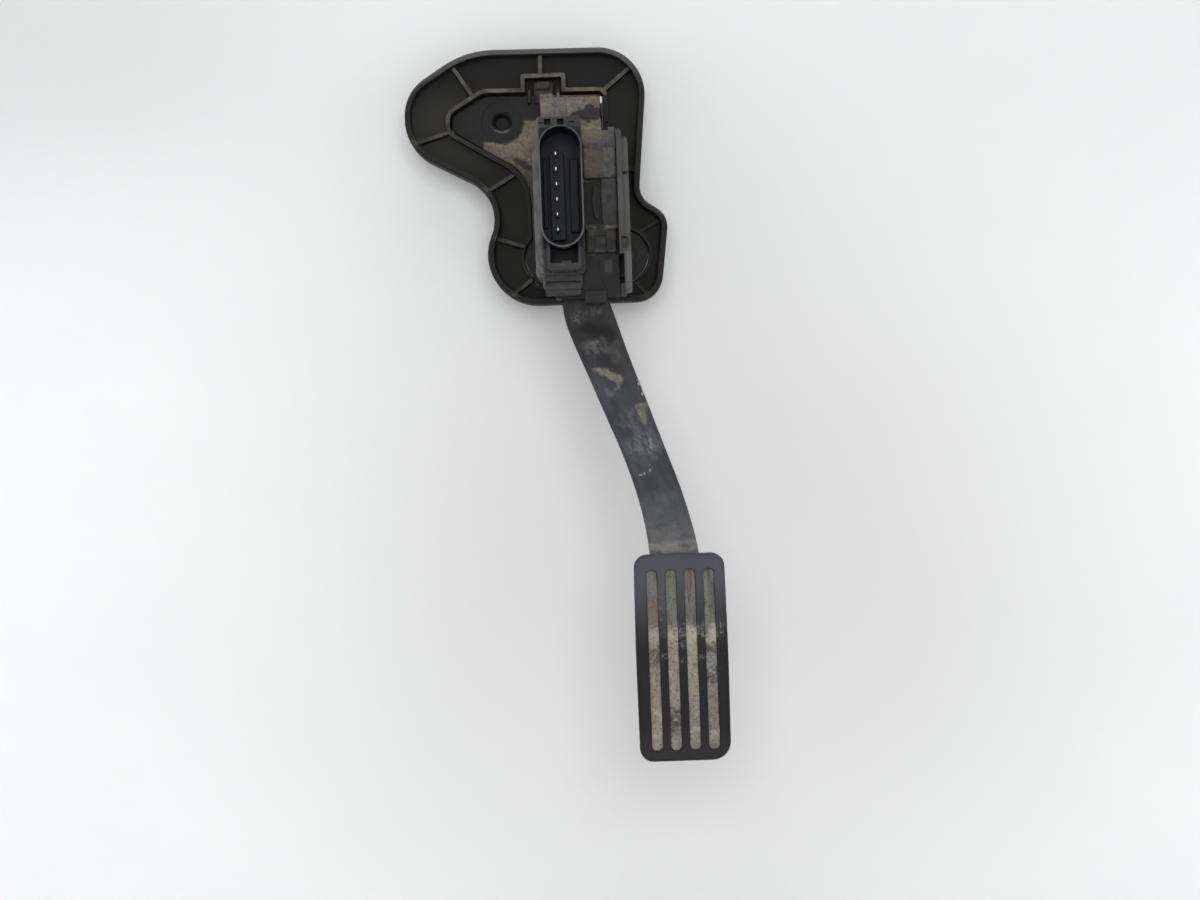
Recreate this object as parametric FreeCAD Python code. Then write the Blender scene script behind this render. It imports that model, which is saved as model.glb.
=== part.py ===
import FreeCAD, Part
import math
import os

V = FreeCAD.Vector

# ---------------------------------------------------------------------------
# Hanging accelerator pedal with a moulded surround plate, sensor and connector.
# Frame: origin on the mounting face, on the centre line of the pedal hub.
# +Z is up as fitted, +Y points through the bulkhead, -Y towards the driver,
# +X to the right as the driver sees it. All sizes are millimetres.
# ---------------------------------------------------------------------------

# surround plate: outline corners (x, z, corner radius)
PLATE_OUTLINE = [
    (28.9, 63.5, 20.0), (23.0, -0.6, 8.9), (35.4, -8.9, 9.3), (30.8, -44.9, 11.6),
    (-53.1, -45.0, 21.4), (-33.6, 0.6, 18.5), (-75.3, 22.8, 20.1),
    (-75.6, 47.1, 18.8), (-48.7, 64.2, 39.4),
]
PLATE_H = 9.0            # height of the outer rim over the mounting face
PLATE_FLOOR = 2.4        # thickness of the floor between the walls
RIM_T = 2.4              # thickness of the outer rim
RIM_R = 1.8              # rounding of the rim's outer edge
COLLAR_H = 8.0           # height of the wall round the cut-out
COLLAR_T = 1.7           # its thickness
LOW_H, LOW_T = 4.2, 1.2  # the same round the lower lobes
CUT_GAP = 0.6            # gap between cut-out and housing flange
SEAT_GAP = 0.2           # the same at the foot of the wall
SEAT_H = 1.6
RIB_T = 2.1              # radial ribs: (x, z) at the collar, (x, z) at the rim
RIBS = [
    ((-45.5, 43.8), (-55.5, 59.2)), ((-57.0, 30.0), (-73.5, 25.2)),
    ((-29.4, 11.2), (-43.5, 3.2)), ((-25.0, -20.3), (-39.5, -15.6)),
    ((-22.5, -33.2), (-35.2, -42.2)), ((-17.2, 53.6), (-17.0, 63.5)),
    ((9.6, 45.7), (26.0, 59.4)), ((14.9, 12.8), (25.0, 10.6)),
    ((22.9, -15.0), (33.5, -9.2)), ((20.5, -36.2), (28.0, -44.2)),
]
LOW_RIBS = 8             # from this one on they are low

# housing
FLANGE_T = 4.4           # mounting flange
FLANGE = [
    (-55.6, 37.0, 4.0), (-55.8, 30.2, 4.0), (-22.6, 10.4, 20.0), (-22.6, -36.0, 2.0),
    (14.2, -36.0, 2.0), (14.2, 26.4, 1.2), (8.6, 26.4, 1.0), (8.6, 44.4, 1.2),
    (-41.6, 45.3, 8.0),
]
LOBE_X, LOBE_Z, LOBE_R = 15.8, -24.6, 10.4     # two lower fixing lobes
EAR_X, EAR_Z = -34.3, 33.9                     # upper locating peg
PEG_R, PEG_L = 5.0, 9.0
PEG_CORE_R, PEG_CORE_D = 3.9, 4.6              # cored from the front
EAR_RING_R = 8.8                               # shallow round facing round it
INSERT_R, INSERT_BORE, INSERT_L = 4.2, 2.5, 6.0
BODY_X0, BODY_X1 = -13.0, 13.2                 # hub chamber, outside
CH_X0 = -10.9                                  # inside of the left wall
FRONT_Y = -43.0                                # front wall, outside
WALL = 2.5
BODY_TOP = 30.0
DECK_H = 14.0

# pivot and lever
PIV_Y, PIV_Z = -31.0, -4.0
HUB_R = 9.0
PIN_R = 4.0
BUSH_R = 5.5
BUSH_CLEAR = 0.04
LEVER_R = 17.0
LEVER_A = 8.0            # lever sits this far below level at idle
NOSE_R = 3.0
TRAVEL_DEG = 16.0

# return springs and friction shoe
SPR_X, SPR_Y = 0.5, -12.8
SPR_TOP = 27.0
SHOE_HALF = 7.7
SHOE_T = 5.0
SHOE_H = 12.3

# sensor and connector
SENS_X0 = -20.6
MOUTH_X, MOUTH_R = -8.95, 8.6
MOUTH_Z0, MOUTH_Z1 = -27.1, 21.2
MOUTH_Y = -62.0
MOUTH_FLOOR_Y = -47.5
SHROUD_T = 0.6
PIN_X, PIN_Z_TOP, PIN_PITCH = -10.9, 10.8, 6.05

# arm: sections (z, left x, right x, front y, thickness)
ARM = [
    (-46.0, -10.4, 8.2, -38.0, 10.0),
    (-53.0, -9.9, 10.6, -38.7, 9.8),
    (-65.0, -6.0, 14.3, -40.9, 9.4),
    (-85.0, 2.0, 21.1, -45.8, 9.0),
    (-107.0, 10.7, 28.6, -51.6, 8.6),
    (-125.0, 16.6, 34.7, -56.0, 8.2),
    (-138.0, 19.5, 38.1, -60.2, 7.8),
    (-150.0, 21.0, 40.4, -62.6, 7.4),
    (-160.0, 21.6, 40.9, -64.6, 7.4),
]
ARM_TAIL = [             # straight taper behind the foot plate
    (-159.9, 21.6, 40.9, -64.6, 7.4), (-170.0, 22.4, 41.0, -65.6, 7.0), (-204.0, 25.4, 39.6, -66.0, 2.6),
]
ARM_SKIN = 2.3           # front skin of the channel-section arm
ARM_SIDE = 2.2           # its side walls

# pad
PAD_X, PAD_Y, PAD_Z = 31.95, -72.0, -189.4     # centre of the front face
PAD_W, PAD_L, PAD_T = 35.3, 80.4, 7.5
PAD_BOW = 0.35           # the long sides are bowed out by this much
PAD_R = 5.2
PAD_TILT = 1.5
FOOT_W, FOOT_L, FOOT_T = 31.0, 76.0, 3.5
SLOT_X = (-10.9, -3.5, 3.9, 11.3)
SLOT_W, SLOT_L, SLOT_D, SLOT_DZ = 4.3, 70.5, 2.6, -0.9


# ---------------------------------------------------------------------------
def box(x0, x1, y0, y1, z0, z1):
    x0, x1 = min(x0, x1), max(x0, x1)
    y0, y1 = min(y0, y1), max(y0, y1)
    z0, z1 = min(z0, z1), max(z0, z1)
    return Part.makeBox(x1 - x0, y1 - y0, z1 - z0, V(x0, y0, z0))


def cylx(r, x0, x1, y, z):
    return Part.makeCylinder(r, x1 - x0, V(x0, y, z), V(1, 0, 0))


def cyly(r, y0, y1, x, z):
    y0, y1 = min(y0, y1), max(y0, y1)
    return Part.makeCylinder(r, y1 - y0, V(x, y0, z), V(0, 1, 0))


def cylz(r, z0, z1, x, y):
    return Part.makeCylinder(r, z1 - z0, V(x, y, z0), V(0, 0, 1))


def rounded(points, to3d):
    """Closed wire through corner points (a, b, radius), each corner an arc."""
    n = len(points)
    corners = []
    for i in range(n):
        p0, p1, p2 = points[i - 1], points[i], points[(i + 1) % n]
        r = p1[2] if len(p1) > 2 else 0.0
        a = (p0[0] - p1[0], p0[1] - p1[1])
        b = (p2[0] - p1[0], p2[1] - p1[1])
        la, lb = math.hypot(*a), math.hypot(*b)
        a = (a[0] / la, a[1] / la)
        b = (b[0] / lb, b[1] / lb)
        cosang = max(-1.0, min(1.0, a[0] * b[0] + a[1] * b[1]))
        ang = math.acos(cosang)
        if r <= 1e-6 or abs(math.pi - ang) < 1e-3:
            corners.append(((p1[0], p1[1]),))
            continue
        t = r / math.tan(ang / 2)
        s = (p1[0] + a[0] * t, p1[1] + a[1] * t)
        e = (p1[0] + b[0] * t, p1[1] + b[1] * t)
        bis = (a[0] + b[0], a[1] + b[1])
        lbis = math.hypot(*bis)
        d = r / math.sin(ang / 2) - r
        m = (p1[0] + bis[0] / lbis * d, p1[1] + bis[1] / lbis * d)
        corners.append((s, m, e))
    edges = []
    for i in range(n):
        c, nx = corners[i], corners[(i + 1) % n]
        if len(c) == 3:
            edges.append(Part.Arc(to3d(*c[0]), to3d(*c[1]), to3d(*c[2])).toShape())
        last, first = c[-1], nx[0]
        if math.hypot(last[0] - first[0], last[1] - first[1]) > 1e-6:
            edges.append(Part.LineSegment(to3d(*last), to3d(*first)).toShape())
    return Part.Wire(edges)


def prism_xz(points, y0, y1):
    w = rounded(points, lambda a, b: V(a, y0, b))
    return Part.Face(w).extrude(V(0, y1 - y0, 0))


def prism_yz(points, x0, x1):
    w = rounded(points, lambda a, b: V(x0, a, b))
    return Part.Face(w).extrude(V(x1 - x0, 0, 0))


def grown_xz(points, grow, y0, y1):
    w = rounded(points, lambda a, b: V(a, y0, b))
    if abs(grow) > 1e-6:
        w = w.makeOffset2D(grow)
    return Part.Face(w).extrude(V(0, y1 - y0, 0))


def rect(x0, x1, z0, z1, r):
    return [(x0, z0, r), (x1, z0, r), (x1, z1, r), (x0, z1, r)]


def stadium_y(x, r, z0, z1, y0, y1):
    """Upright rounded slot: overall z0 to z1, half width r."""
    a = cyly(r, y0, y1, x, z0 + r)
    b = cyly(r, y0, y1, x, z1 - r)
    return a.fuse([b, box(x - r, x + r, y0, y1, z0 + r, z1 - r)]).removeSplitter()


def soften(shape, r, pick):
    """Rounds the edges that pick(edge) chooses, by the largest radius that takes."""
    edges = [e for e in shape.Edges if pick(e)]
    for k in (1.0, 0.7, 0.45, 0.25):
        try:
            done = shape.makeFillet(r * k, edges)
            if done.isValid() and done.Volume > 0:
                return done
        except Exception:
            pass
    print("no rounding of", r, "on", len(edges), "edges")
    return shape


def at_y(y):
    return lambda e: all(abs(v.Y - y) < 1e-4 for v in e.Vertexes) and abs(e.BoundBox.YMax - e.BoundBox.YMin) < 1e-4


def at_x(x):
    return lambda e: all(abs(v.X - x) < 1e-4 for v in e.Vertexes) and abs(e.BoundBox.XMax - e.BoundBox.XMin) < 1e-4


def soft_box(x0, x1, y0, y1, z0, z1, r):
    b = box(x0, x1, y0, y1, z0, z1)
    yf = min(y0, y1)
    return soften(b, r, lambda e: e.BoundBox.YMin < yf + 1e-4)


def turned(shape, deg, y, z):
    s = shape.copy()
    s.rotate(V(0, y, z), V(1, 0, 0), deg)
    return s


def one(shape):
    s = shape.removeSplitter()
    solids = s.Solids
    if len(solids) == 1:
        return solids[0]
    solids = sorted(solids, key=lambda q: -q.Volume)
    print("  solids:", [round(q.Volume, 2) for q in solids])
    return Part.makeCompound(solids)


os.makedirs("parts", exist_ok=True)
MADE = {}


def put(name, shape):
    if not shape.isValid():
        print("INVALID", name)
    MADE[name] = shape
    shape.exportStep("parts/" + name + ".step")
    print(f"{name:24s} solids {len(shape.Solids)} volume {shape.Volume:10.1f}")


# ---------------------------------------------------------------------------
# surround plate
LATCH_X0, LATCH_X1, LATCH_Z = -23.9, -8.2, 51.6    # inside of the latch pocket


def opening(grow, y0, y1):
    """Outline of the housing flange, grown all round, from y0 to y1."""
    lobes = [cyly(LOBE_R + grow, y0, y1, s * LOBE_X, LOBE_Z) for s in (-1, 1)]
    return grown_xz(FLANGE, grow, y0, y1).fuse(lobes).removeSplitter()


def latch_pocket(wall, y0, y1):
    return prism_xz(rect(LATCH_X0 - wall, LATCH_X1 + wall, 41.0, LATCH_Z + wall, 0.6 + wall * 0.4), y0, y1)


def rib(a, b, ha, hb):
    """Thin upright rib on the floor from a to b (x, z), ha and hb high at its ends."""
    dx, dz = b[0] - a[0], b[1] - a[1]
    length = math.hypot(dx, dz)
    nx, nz = -dz / length * RIB_T / 2, dx / length * RIB_T / 2
    y0 = -PLATE_FLOOR + 0.4
    sections = []
    for p, h in ((a, ha), (b, hb)):
        w = Part.makePolygon([
            V(p[0] - nx, y0, p[1] - nz), V(p[0] + nx, y0, p[1] + nz),
            V(p[0] + nx * 0.8, -h, p[1] + nz * 0.8), V(p[0] - nx * 0.8, -h, p[1] - nz * 0.8),
            V(p[0] - nx, y0, p[1] - nz)])
        sections.append(w)
    return Part.makeLoft(sections, True, True)


outer_wire = rounded(PLATE_OUTLINE, lambda a, b: V(a, 0, b))
block = Part.Face(outer_wire).extrude(V(0, -PLATE_H, 0))
block = soften(block, RIM_R, at_y(-PLATE_H))
inner_wire = rounded(PLATE_OUTLINE, lambda a, b: V(a, -PLATE_FLOOR, b)).makeOffset2D(-RIM_T)
pocket = Part.Face(inner_wire).extrude(V(0, -PLATE_H, 0))
pocket = soften(pocket, 1.3, at_y(-PLATE_FLOOR))
plate = block.cut(pocket)
collar = opening(CUT_GAP + COLLAR_T, 0, -COLLAR_H).fuse(latch_pocket(COLLAR_T, 0, -COLLAR_H)).removeSplitter()
# the wall falls away to the lower lobes and stays under the side cover
collar = collar.cut([
    box(-90, 60, 1, -20, -70, -3.0), box(10.0, 60, -6.4, -20, -70, 32.0),
    prism_yz([(-LOW_H, -5.0), (-COLLAR_H, 12.0), (-20.0, 12.0), (-20.0, -5.0)], -90, 60)])
low_collar = opening(CUT_GAP + LOW_T, 0, -LOW_H)
whole = Part.Face(outer_wire).extrude(V(0, -PLATE_H, 0))
ribs = []
for i, (a, b) in enumerate(RIBS):
    high = (6.2, 5.0) if i < LOW_RIBS else (4.0, 3.4)
    ribs.append(rib(a, b, *high).common(whole))
plate = plate.fuse([collar.common(whole), low_collar.common(whole)] + ribs)
plate = plate.cut([opening(SEAT_GAP, 1, -PLATE_H - 2), opening(CUT_GAP, -SEAT_H, -PLATE_H - 2),
                   latch_pocket(0, -PLATE_FLOOR, -PLATE_H - 2)])
plate = plate.cut(box(7.9, 9.0, 1, -PLATE_H, 41.0, 44.2)).removeSplitter()
put("backing_plate", one(plate))

# ---------------------------------------------------------------------------
# housing
flange = grown_xz(FLANGE, 0, 0, -FLANGE_T)
flange = flange.fuse([cyly(LOBE_R, 0, -FLANGE_T, s * LOBE_X, LOBE_Z) for s in (-1, 1)]).removeSplitter()
flange = soften(flange, 0.8, at_y(-FLANGE_T))
profile = [
    (0, -36.0, 0), (0, BODY_TOP, 0), (-24.0, BODY_TOP, 3.0), (FRONT_Y, 15.5, 3.0),
    (FRONT_Y, -46.0, 1.2), (-36.0, -46.0, 2.0), (-12.0, -36.0, 4.0),
]
body = prism_yz(profile, BODY_X0, BODY_X1)
body = soften(body, 0.9, lambda e: at_x(BODY_X0)(e) and e.BoundBox.YMin < -8)
deck = soften(prism_xz(rect(-17.6, 7.7, 25.4, 41.8, 1.2), 0, -DECK_H), 1.0, at_y(-DECK_H))
riser = soft_box(-13.0, 7.7, -8.0, -19.0, 26.0, 33.4, 1.0)
bosses = [cyly(6.6, -1.0, -6.6, s * LOBE_X, LOBE_Z) for s in (-1, 1)]
tongue = soft_box(-20.2, -12.0, -2.7, -5.6, 41.0, 50.0, 0.6)
hook = soft_box(-18.9, -13.3, -4.8, -7.4, 46.8, 50.0, 0.5)
wing_l = soft_box(-22.9, -21.5, -2.7, -6.4, 41.0, 46.8, 0.3)
wing_r = soft_box(-10.6, -9.2, -2.7, -6.4, 41.0, 46.8, 0.3)
upper_block = soft_box(-0.2, BODY_X1, -38.0, -46.6, 2.0, 14.3, 0.9)
upper_step = soft_box(-0.2, 9.6, -33.0, -43.8, 12.0, 17.2, 0.8)
side_bar = soft_box(6.8, BODY_X1, -38.0, -44.6, -18.0, 3.0, 0.7)
cross_rib = soft_box(0.0, BODY_X1, -38.0, -47.0, -18.6, -16.9, 0.5)
lower_block = soft_box(0.0, 12.4, -38.0, -46.4, -28.0, -17.4, 0.9)
lip = soft_box(-1.4, 8.0, -40.6, -46.6, -48.4, -43.0, 0.7)
housing = flange.fuse([body, deck, riser, tongue, hook, wing_l, wing_r, upper_block, upper_step,
                       side_bar, cross_rib, lower_block, lip] + bosses)
# chamber for hub, lever and springs, open on the right and below
chamber = prism_yz([
    (-4.5, -52.0, 0), (-4.5, 27.0, 1.0), (-22.6, 27.0, 1.0), (FRONT_Y + WALL, 13.6, 1.0), (FRONT_Y + WALL, -52.0, 0)],
    CH_X0, BODY_X1 + 1)
chamber = chamber.cut(box(7.4, 20.0, 1.0, -60.0, 22.0, 40.0))    # lower ceiling on the right
housing = housing.cut(chamber)
# guide wall for the shoe, spring peg, full-travel boss, left pivot boss
guide = box(CH_X0 - 0.5, BODY_X1, -23.0, -21.2, 4.0, 27.8)
peg = cylz(2.6, 22.0, 27.8, SPR_X, SPR_Y)
stop_boss = box(CH_X0 - 0.5, BODY_X1 - 0.4, -4.0, -14.6, -36.0, -30.0)
pivot_boss = cylx(8.2, -14.6, CH_X0, PIV_Y, PIV_Z)
housing = housing.fuse([guide, peg, stop_boss, pivot_boss] + bosses)
# recess beside the connector with an upright lens-shaped rib, small window in the lower block
recess = prism_xz(rect(-0.2, 6.8, -16.9, 1.8, 1.6), -42.0, -50.0)
lens = prism_xz([(2.8, -7.4, 7.0), (4.6, 0.8, 0.5), (6.4, -7.4, 7.0), (4.6, -15.8, 0.5)], -41.5, -44.0)
small_window = soften(prism_xz(rect(2.8, 8.4, -26.0, -21.2, 0.8), -45.6, -50.0), 0.3, at_y(-45.6))
# the front wall is set back beside the arm, with a low pad on it
corner_cut = prism_xz([(4.0, -28.2, 1.5), (4.8, -33.0, 8.0), (7.4, -44.0, 4.0), (7.4, -52.0), (14.0, -52.0), (14.0, -28.2)], -41.6, -50.0)
corner_pad = soft_box(7.0, 10.6, -41.0, -42.4, -36.0, -30.6, 0.5)
ear_peg = cyly(PEG_R, -1, PEG_L, EAR_X, EAR_Z)
ear_peg = soften(ear_peg, 0.9, at_y(PEG_L))
housing = housing.fuse([ear_peg]).cut([recess, small_window, corner_cut]).fuse([lens, corner_pad])
# the deck is cored from behind
deck_cores = [box(-15.4, -5.9, 1, -11.8, 32.6, 39.6), box(-4.1, 5.5, 1, -11.8, 32.6, 39.6)]
# and so is the back wall of the chamber, between the fixings
back_cores = [prism_xz(rect(x0, x1, z0, z1, 1.5), 1.0, -2.2) for x0, x1 in ((-9.6, -0.9), (0.9, 9.6)) for z0, z1 in ((-14.0, 3.1), (4.9, 23.0))]
housing = housing.cut(deck_cores + back_cores)
core = Part.makeCone(PEG_CORE_R, 2.7, PEG_CORE_D, V(EAR_X, -FLANGE_T - 0.01, EAR_Z), V(0, 1, 0))
core_mouth = Part.makeCone(PEG_CORE_R + 0.7, PEG_CORE_R - 0.1, 0.9, V(EAR_X, -FLANGE_T - 0.01, EAR_Z), V(0, 1, 0))
ear_ring = cyly(EAR_RING_R, -FLANGE_T - 1, -FLANGE_T + 0.25, EAR_X, EAR_Z)
# trench beside the deck, open through at its upper end; the body's upper right corner is cut away
trench = [box(7.9, 12.0, -1.2, -40.0, 26.4, 47.0), box(7.9, 9.0, 1.0, -20.0, 41.0, 44.2),
          box(8.6, 20.0, 1.0, -40.0, 25.5, 47.0), box(7.9, 10.5, -1.2, -40.0, 23.8, 47.0)]
housing = housing.cut([ear_ring, core, core_mouth] + trench)
for s in (-1, 1):
    housing = housing.cut(cyly(INSERT_R, 0.5, -INSERT_L, s * LOBE_X, LOBE_Z))
housing = housing.cut(cylx(BUSH_R, -16, CH_X0 + 0.5, PIV_Y, PIV_Z))
put("pedal_housing", one(housing))

inserts = []
for s in (-1, 1):
    ring = cyly(INSERT_R, 0, -INSERT_L, s * LOBE_X, LOBE_Z).cut(cyly(INSERT_BORE, 1, -INSERT_L - 1, s * LOBE_X, LOBE_Z))
    inserts.append(ring)
put("threaded_inserts", Part.makeCompound(inserts))

# ---------------------------------------------------------------------------
# side cover on the right of the chamber
COVER_X0, COVER_X1, COVER_X2 = 13.4, 15.7, 18.1
cover_profile = [
    (-7.0, -33.0, 3.0), (-7.0, 24.0, 4.0), (-26.0, 25.6, 6.0), (-50.0, 19.6, 5.0),
    (-50.0, -45.6, 1.5), (-40.0, -45.6, 3.0), (-18.0, -37.0, 4.0),
]
dome_profile = [
    (-10.0, -30.6, 3.0), (-10.0, 20.5, 4.0), (-27.0, 22.0, 5.0), (-47.2, 16.2, 4.0),
    (-47.2, -44.4, 1.0), (-41.0, -44.4, 2.0), (-19.5, -34.6, 4.0),
]
cave_profile = [
    (-12.0, -28.6, 2.0), (-12.0, 18.4, 2.0), (-27.5, 19.8, 3.0), (-45.2, 14.2, 2.0),
    (-45.2, -40.6, 1.0), (-41.6, -40.6, 1.0), (-20.5, -32.4, 3.0),
]
base = soften(prism_yz(cover_profile, COVER_X0, COVER_X1), 0.7, at_x(COVER_X1))
dome = soften(prism_yz(dome_profile, COVER_X1 - 0.5, COVER_X2), 1.1, at_x(COVER_X2))
cover = base.fuse(dome).cut(prism_yz(cave_profile, COVER_X0 - 1, 16.6))
boss_r = cylx(8.2, COVER_X0, 17.0, PIV_Y, PIV_Z)
ribs_c = [box(COVER_X0, 17.0, -44.0, -13.0, PIV_Z - 0.8, PIV_Z + 0.8), box(COVER_X0, 17.0, PIV_Y - 0.8, PIV_Y + 0.8, -37.0, 17.0)]
cover = cover.fuse([boss_r] + [r.common(prism_yz(dome_profile, COVER_X0, 17.0)) for r in ribs_c])
cover = cover.cut(cylx(BUSH_R, COVER_X0 - 1, 16.6, PIV_Y, PIV_Z))
# clip window in the front edge, small notch above it
cover = cover.cut([box(14.2, 17.0, -55, -45.8, -27.0, -22.0), box(15.6, 19.0, -55, -46.4, 3.0, 4.2),
                   box(12.0, 15.2, -55, -41.0, -50.0, -29.0), box(16.6, 19.0, -55, -46.2, -46.0, -40.0)])
# outer face: groove round the pivot, two shallow bays
ring_c = cylx(8.2, COVER_X2 - 0.6, COVER_X2 + 1, PIV_Y, PIV_Z).cut(cylx(6.8, COVER_X2 - 1, COVER_X2 + 2, PIV_Y, PIV_Z))
dimple = cylx(2.2, COVER_X2 - 0.5, COVER_X2 + 1, PIV_Y, PIV_Z)
bay_up = prism_yz([(-14.0, 9.0, 1.5), (-14.0, 16.4, 2.0), (-27.0, 17.6, 3.0), (-42.4, 13.2, 1.5), (-42.4, 9.0, 1.5)], COVER_X2 - 0.5, COVER_X2 + 1)
bay_low = prism_yz([(-14.0, -17.0, 1.5), (-14.0, -26.6, 2.0), (-21.0, -30.4, 3.0), (-42.4, -39.6, 1.5), (-42.4, -17.0, 1.5)], COVER_X2 - 0.5, COVER_X2 + 1)
cover = cover.cut([ring_c, dimple, bay_up, bay_low])
put("side_cover", one(cover))

# ---------------------------------------------------------------------------
# sensor housing with the connector shroud
SENS_RIM_X = -13.6
s_profile = [
    (-7.4, -32.0, 2.5), (-7.4, 19.0, 3.0), (-13.0, 24.6, 3.0), (-45.0, 24.6, 1.5),
    (-45.0, -36.4, 1.5), (-14.0, -36.4, 3.0),
]
c_profile = [
    (-9.0, -31.0, 1.5), (-9.0, 18.2, 2.0), (-13.8, 22.6, 2.0), (-42.2, 22.6, 1.0),
    (-42.2, -34.4, 1.0), (-14.6, -34.4, 2.0),
]
shell = soften(prism_yz(s_profile, SENS_X0, SENS_RIM_X), 1.2, at_x(SENS_X0))
base_plate = prism_xz([(-19.6, -37.0, 5.0), (-0.4, -37.0, 3.0), (-0.4, 25.1, 2.0), (-19.6, 25.1, 2.0)], -43.4, -49.6)
base_plate = soften(base_plate, 0.6, at_y(-49.6))
mid_plate = prism_xz([(-18.9, -34.6, 5.0), (-0.4, -34.6, 3.0), (-0.4, 25.1, 2.0), (-18.9, 25.1, 2.0)], -49.0, -53.0)
mid_plate = soften(mid_plate, 0.6, at_y(-53.0))
low_plate = soften(prism_xz(rect(-17.8, -1.8, -42.6, -33.0, 1.8), -43.4, -48.0), 0.6, at_y(-48.0))
low_step = soften(prism_xz(rect(-17.0, -2.6, -44.8, -40.0, 1.0), -43.4, -46.4), 0.5, at_y(-46.4))
shroud = stadium_y(MOUTH_X, MOUTH_R, MOUTH_Z0, MOUTH_Z1, -48.0, MOUTH_Y)
shroud = soften(shroud, 0.25, at_y(MOUTH_Y))
frame_top = soften(prism_xz(rect(-18.1, -0.6, 8.0, 25.2, 1.2), -48.0, -58.4), 0.5, at_y(-58.4))
loop = soften(prism_xz(rect(-15.6, -1.9, -35.8, -18.0, 2.0), -48.0, -58.6), 0.5, at_y(-58.6))
sensor = shell.fuse([base_plate, mid_plate, low_plate, low_step, shroud, frame_top, loop])
sensor = sensor.cut(prism_yz(c_profile, SENS_X0 + 1.4, SENS_RIM_X + 1))
# latch window under the shroud, with the bar and its small tab left standing
latch_win = prism_xz(rect(-14.3, -3.2, -33.1, -20.0, 0.3), -47.6, -62.5)
latch_win = latch_win.cut(stadium_y(MOUTH_X, MOUTH_R, MOUTH_Z0, MOUTH_Z1, -40.0, -70.0))
sensor = sensor.cut(latch_win)
tab = soft_box(-10.0, -6.0, -50.0, -57.6, -33.6, -32.1, 0.3)
sensor = sensor.fuse(tab)
# plug cavity, pin carrier and coding rib
cavity = stadium_y(MOUTH_X, MOUTH_R - SHROUD_T, MOUTH_Z0 + SHROUD_T, MOUTH_Z1 - SHROUD_T, MOUTH_FLOOR_Y, -70.0)
sensor = sensor.cut(cavity)
carrier = soften(prism_xz(rect(-13.6, -7.8, -23.2, 11.9, 0.6), MOUTH_FLOOR_Y + 1.0, -50.4), 0.35, at_y(-50.4))
coding = soften(prism_xz(rect(-5.7, -2.2, -20.0, 9.6, 0.6), MOUTH_FLOOR_Y + 1.0, -49.2), 0.35, at_y(-49.2))
groove = soften(prism_xz(rect(-16.3, -14.7, -18.0, 10.0, 0.4), MOUTH_FLOOR_Y + 1.0, -48.8), 0.3, at_y(-48.8))
sensor = sensor.fuse([carrier, coding, groove])
holes = [box(x - 1.3, x + 1.3, -54.0, -70.0, 21.8, 24.3) for x in (-13.7, -8.5)]
holes += [box(-17.4, -15.6, -57.4, -70.0, 22.5, 23.0), box(-5.4, -3.0, -57.4, -70.0, 22.5, 23.0)]
slit = [box(-16.8, -2.8, -46.2, -60.0, -40.6, -39.2)]
side_panel = prism_yz([(-12.4, -29.4, 3.0), (-12.4, 16.2, 3.0), (-16.2, 19.8, 3.0), (-40.4, 19.8, 2.0), (-40.4, -31.6, 2.0), (-16.2, -31.6, 3.0)],
                      SENS_X0 - 1.0, SENS_X0 + 0.5)
sensor = sensor.cut(holes + slit + [side_panel])

pins = []
for i in range(6):
    z = PIN_Z_TOP - i * PIN_PITCH
    tipped = box(PIN_X - 0.32, PIN_X + 0.32, -57.0, -44.6, z - 0.7, z + 0.7)
    try:
        tipped = tipped.makeChamfer(0.22, [e for e in tipped.Edges if at_y(-57.0)(e)])
    except Exception:
        pass
    run = [
        box(-15.2, PIN_X + 0.32, -45.4, -44.6, z - 0.7, z + 0.7),
        box(-15.2, -14.4, -45.4, -39.6, z - 0.7, z + 0.7),
        box(-18.6, -14.4, -40.4, -39.6, z - 0.7, z + 0.7),
    ]
    pins.append(tipped.fuse(run).removeSplitter())
pin_set = Part.makeCompound(pins)
sensor = sensor.cut(pins)
put("sensor_housing", one(sensor))
put("contact_pins", pin_set)

seal_out = prism_yz(s_profile, SENS_RIM_X, BODY_X0)
seal = seal_out.cut(prism_yz(c_profile, SENS_RIM_X - 1, BODY_X0 + 1))
seal = seal.common(box(-20, 0, -42.8, -7.6, -41.0, 24.0))
put("sensor_seal", one(seal))

board = prism_yz([(-11.0, -28.0, 2), (-11.0, 16.0, 2), (-41.6, 18.0, 2), (-41.6, -33.0, 2), (-26.0, -33.0, 2)], -18.6, -17.2)
board = board.cut(pins)
put("circuit_board", one(board))
chip = soft_box(-17.2, -16.0, -27.5, -34.5, -24.0, -18.0, 0.2)
put("sensor_chip", one(chip))

# ---------------------------------------------------------------------------
# pedal arm: hub, lever, channel-section arm and foot plate in one moulding
hub = cylx(HUB_R, CH_X0 + 0.5, 11.4, PIV_Y, PIV_Z)
upper = prism_yz([(-38.0, PIV_Z, 0), (-28.0, PIV_Z, 0), (-28.0, -46.5, 0), (-38.0, -46.5, 0)], -10.4, 8.2)
a = math.radians(LEVER_A)
nose_y, nose_z = PIV_Y + LEVER_R * math.cos(a), PIV_Z - LEVER_R * math.sin(a)
nose = cylx(NOSE_R, -4.0, 5.0, nose_y, nose_z)
bar_pts = []
for t, side in ((0.0, 1), (1.0, 1), (1.0, -1), (0.0, -1)):
    half = 2.0 if side > 0 else 3.2 - 0.9 * t
    cy, cz = PIV_Y + (nose_y - PIV_Y) * t, PIV_Z + (nose_z - PIV_Z) * t
    bar_pts.append((cy + side * half * math.sin(a), cz + side * half * math.cos(a), 0))
lever = prism_yz(bar_pts, -4.0, 5.0)


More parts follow.
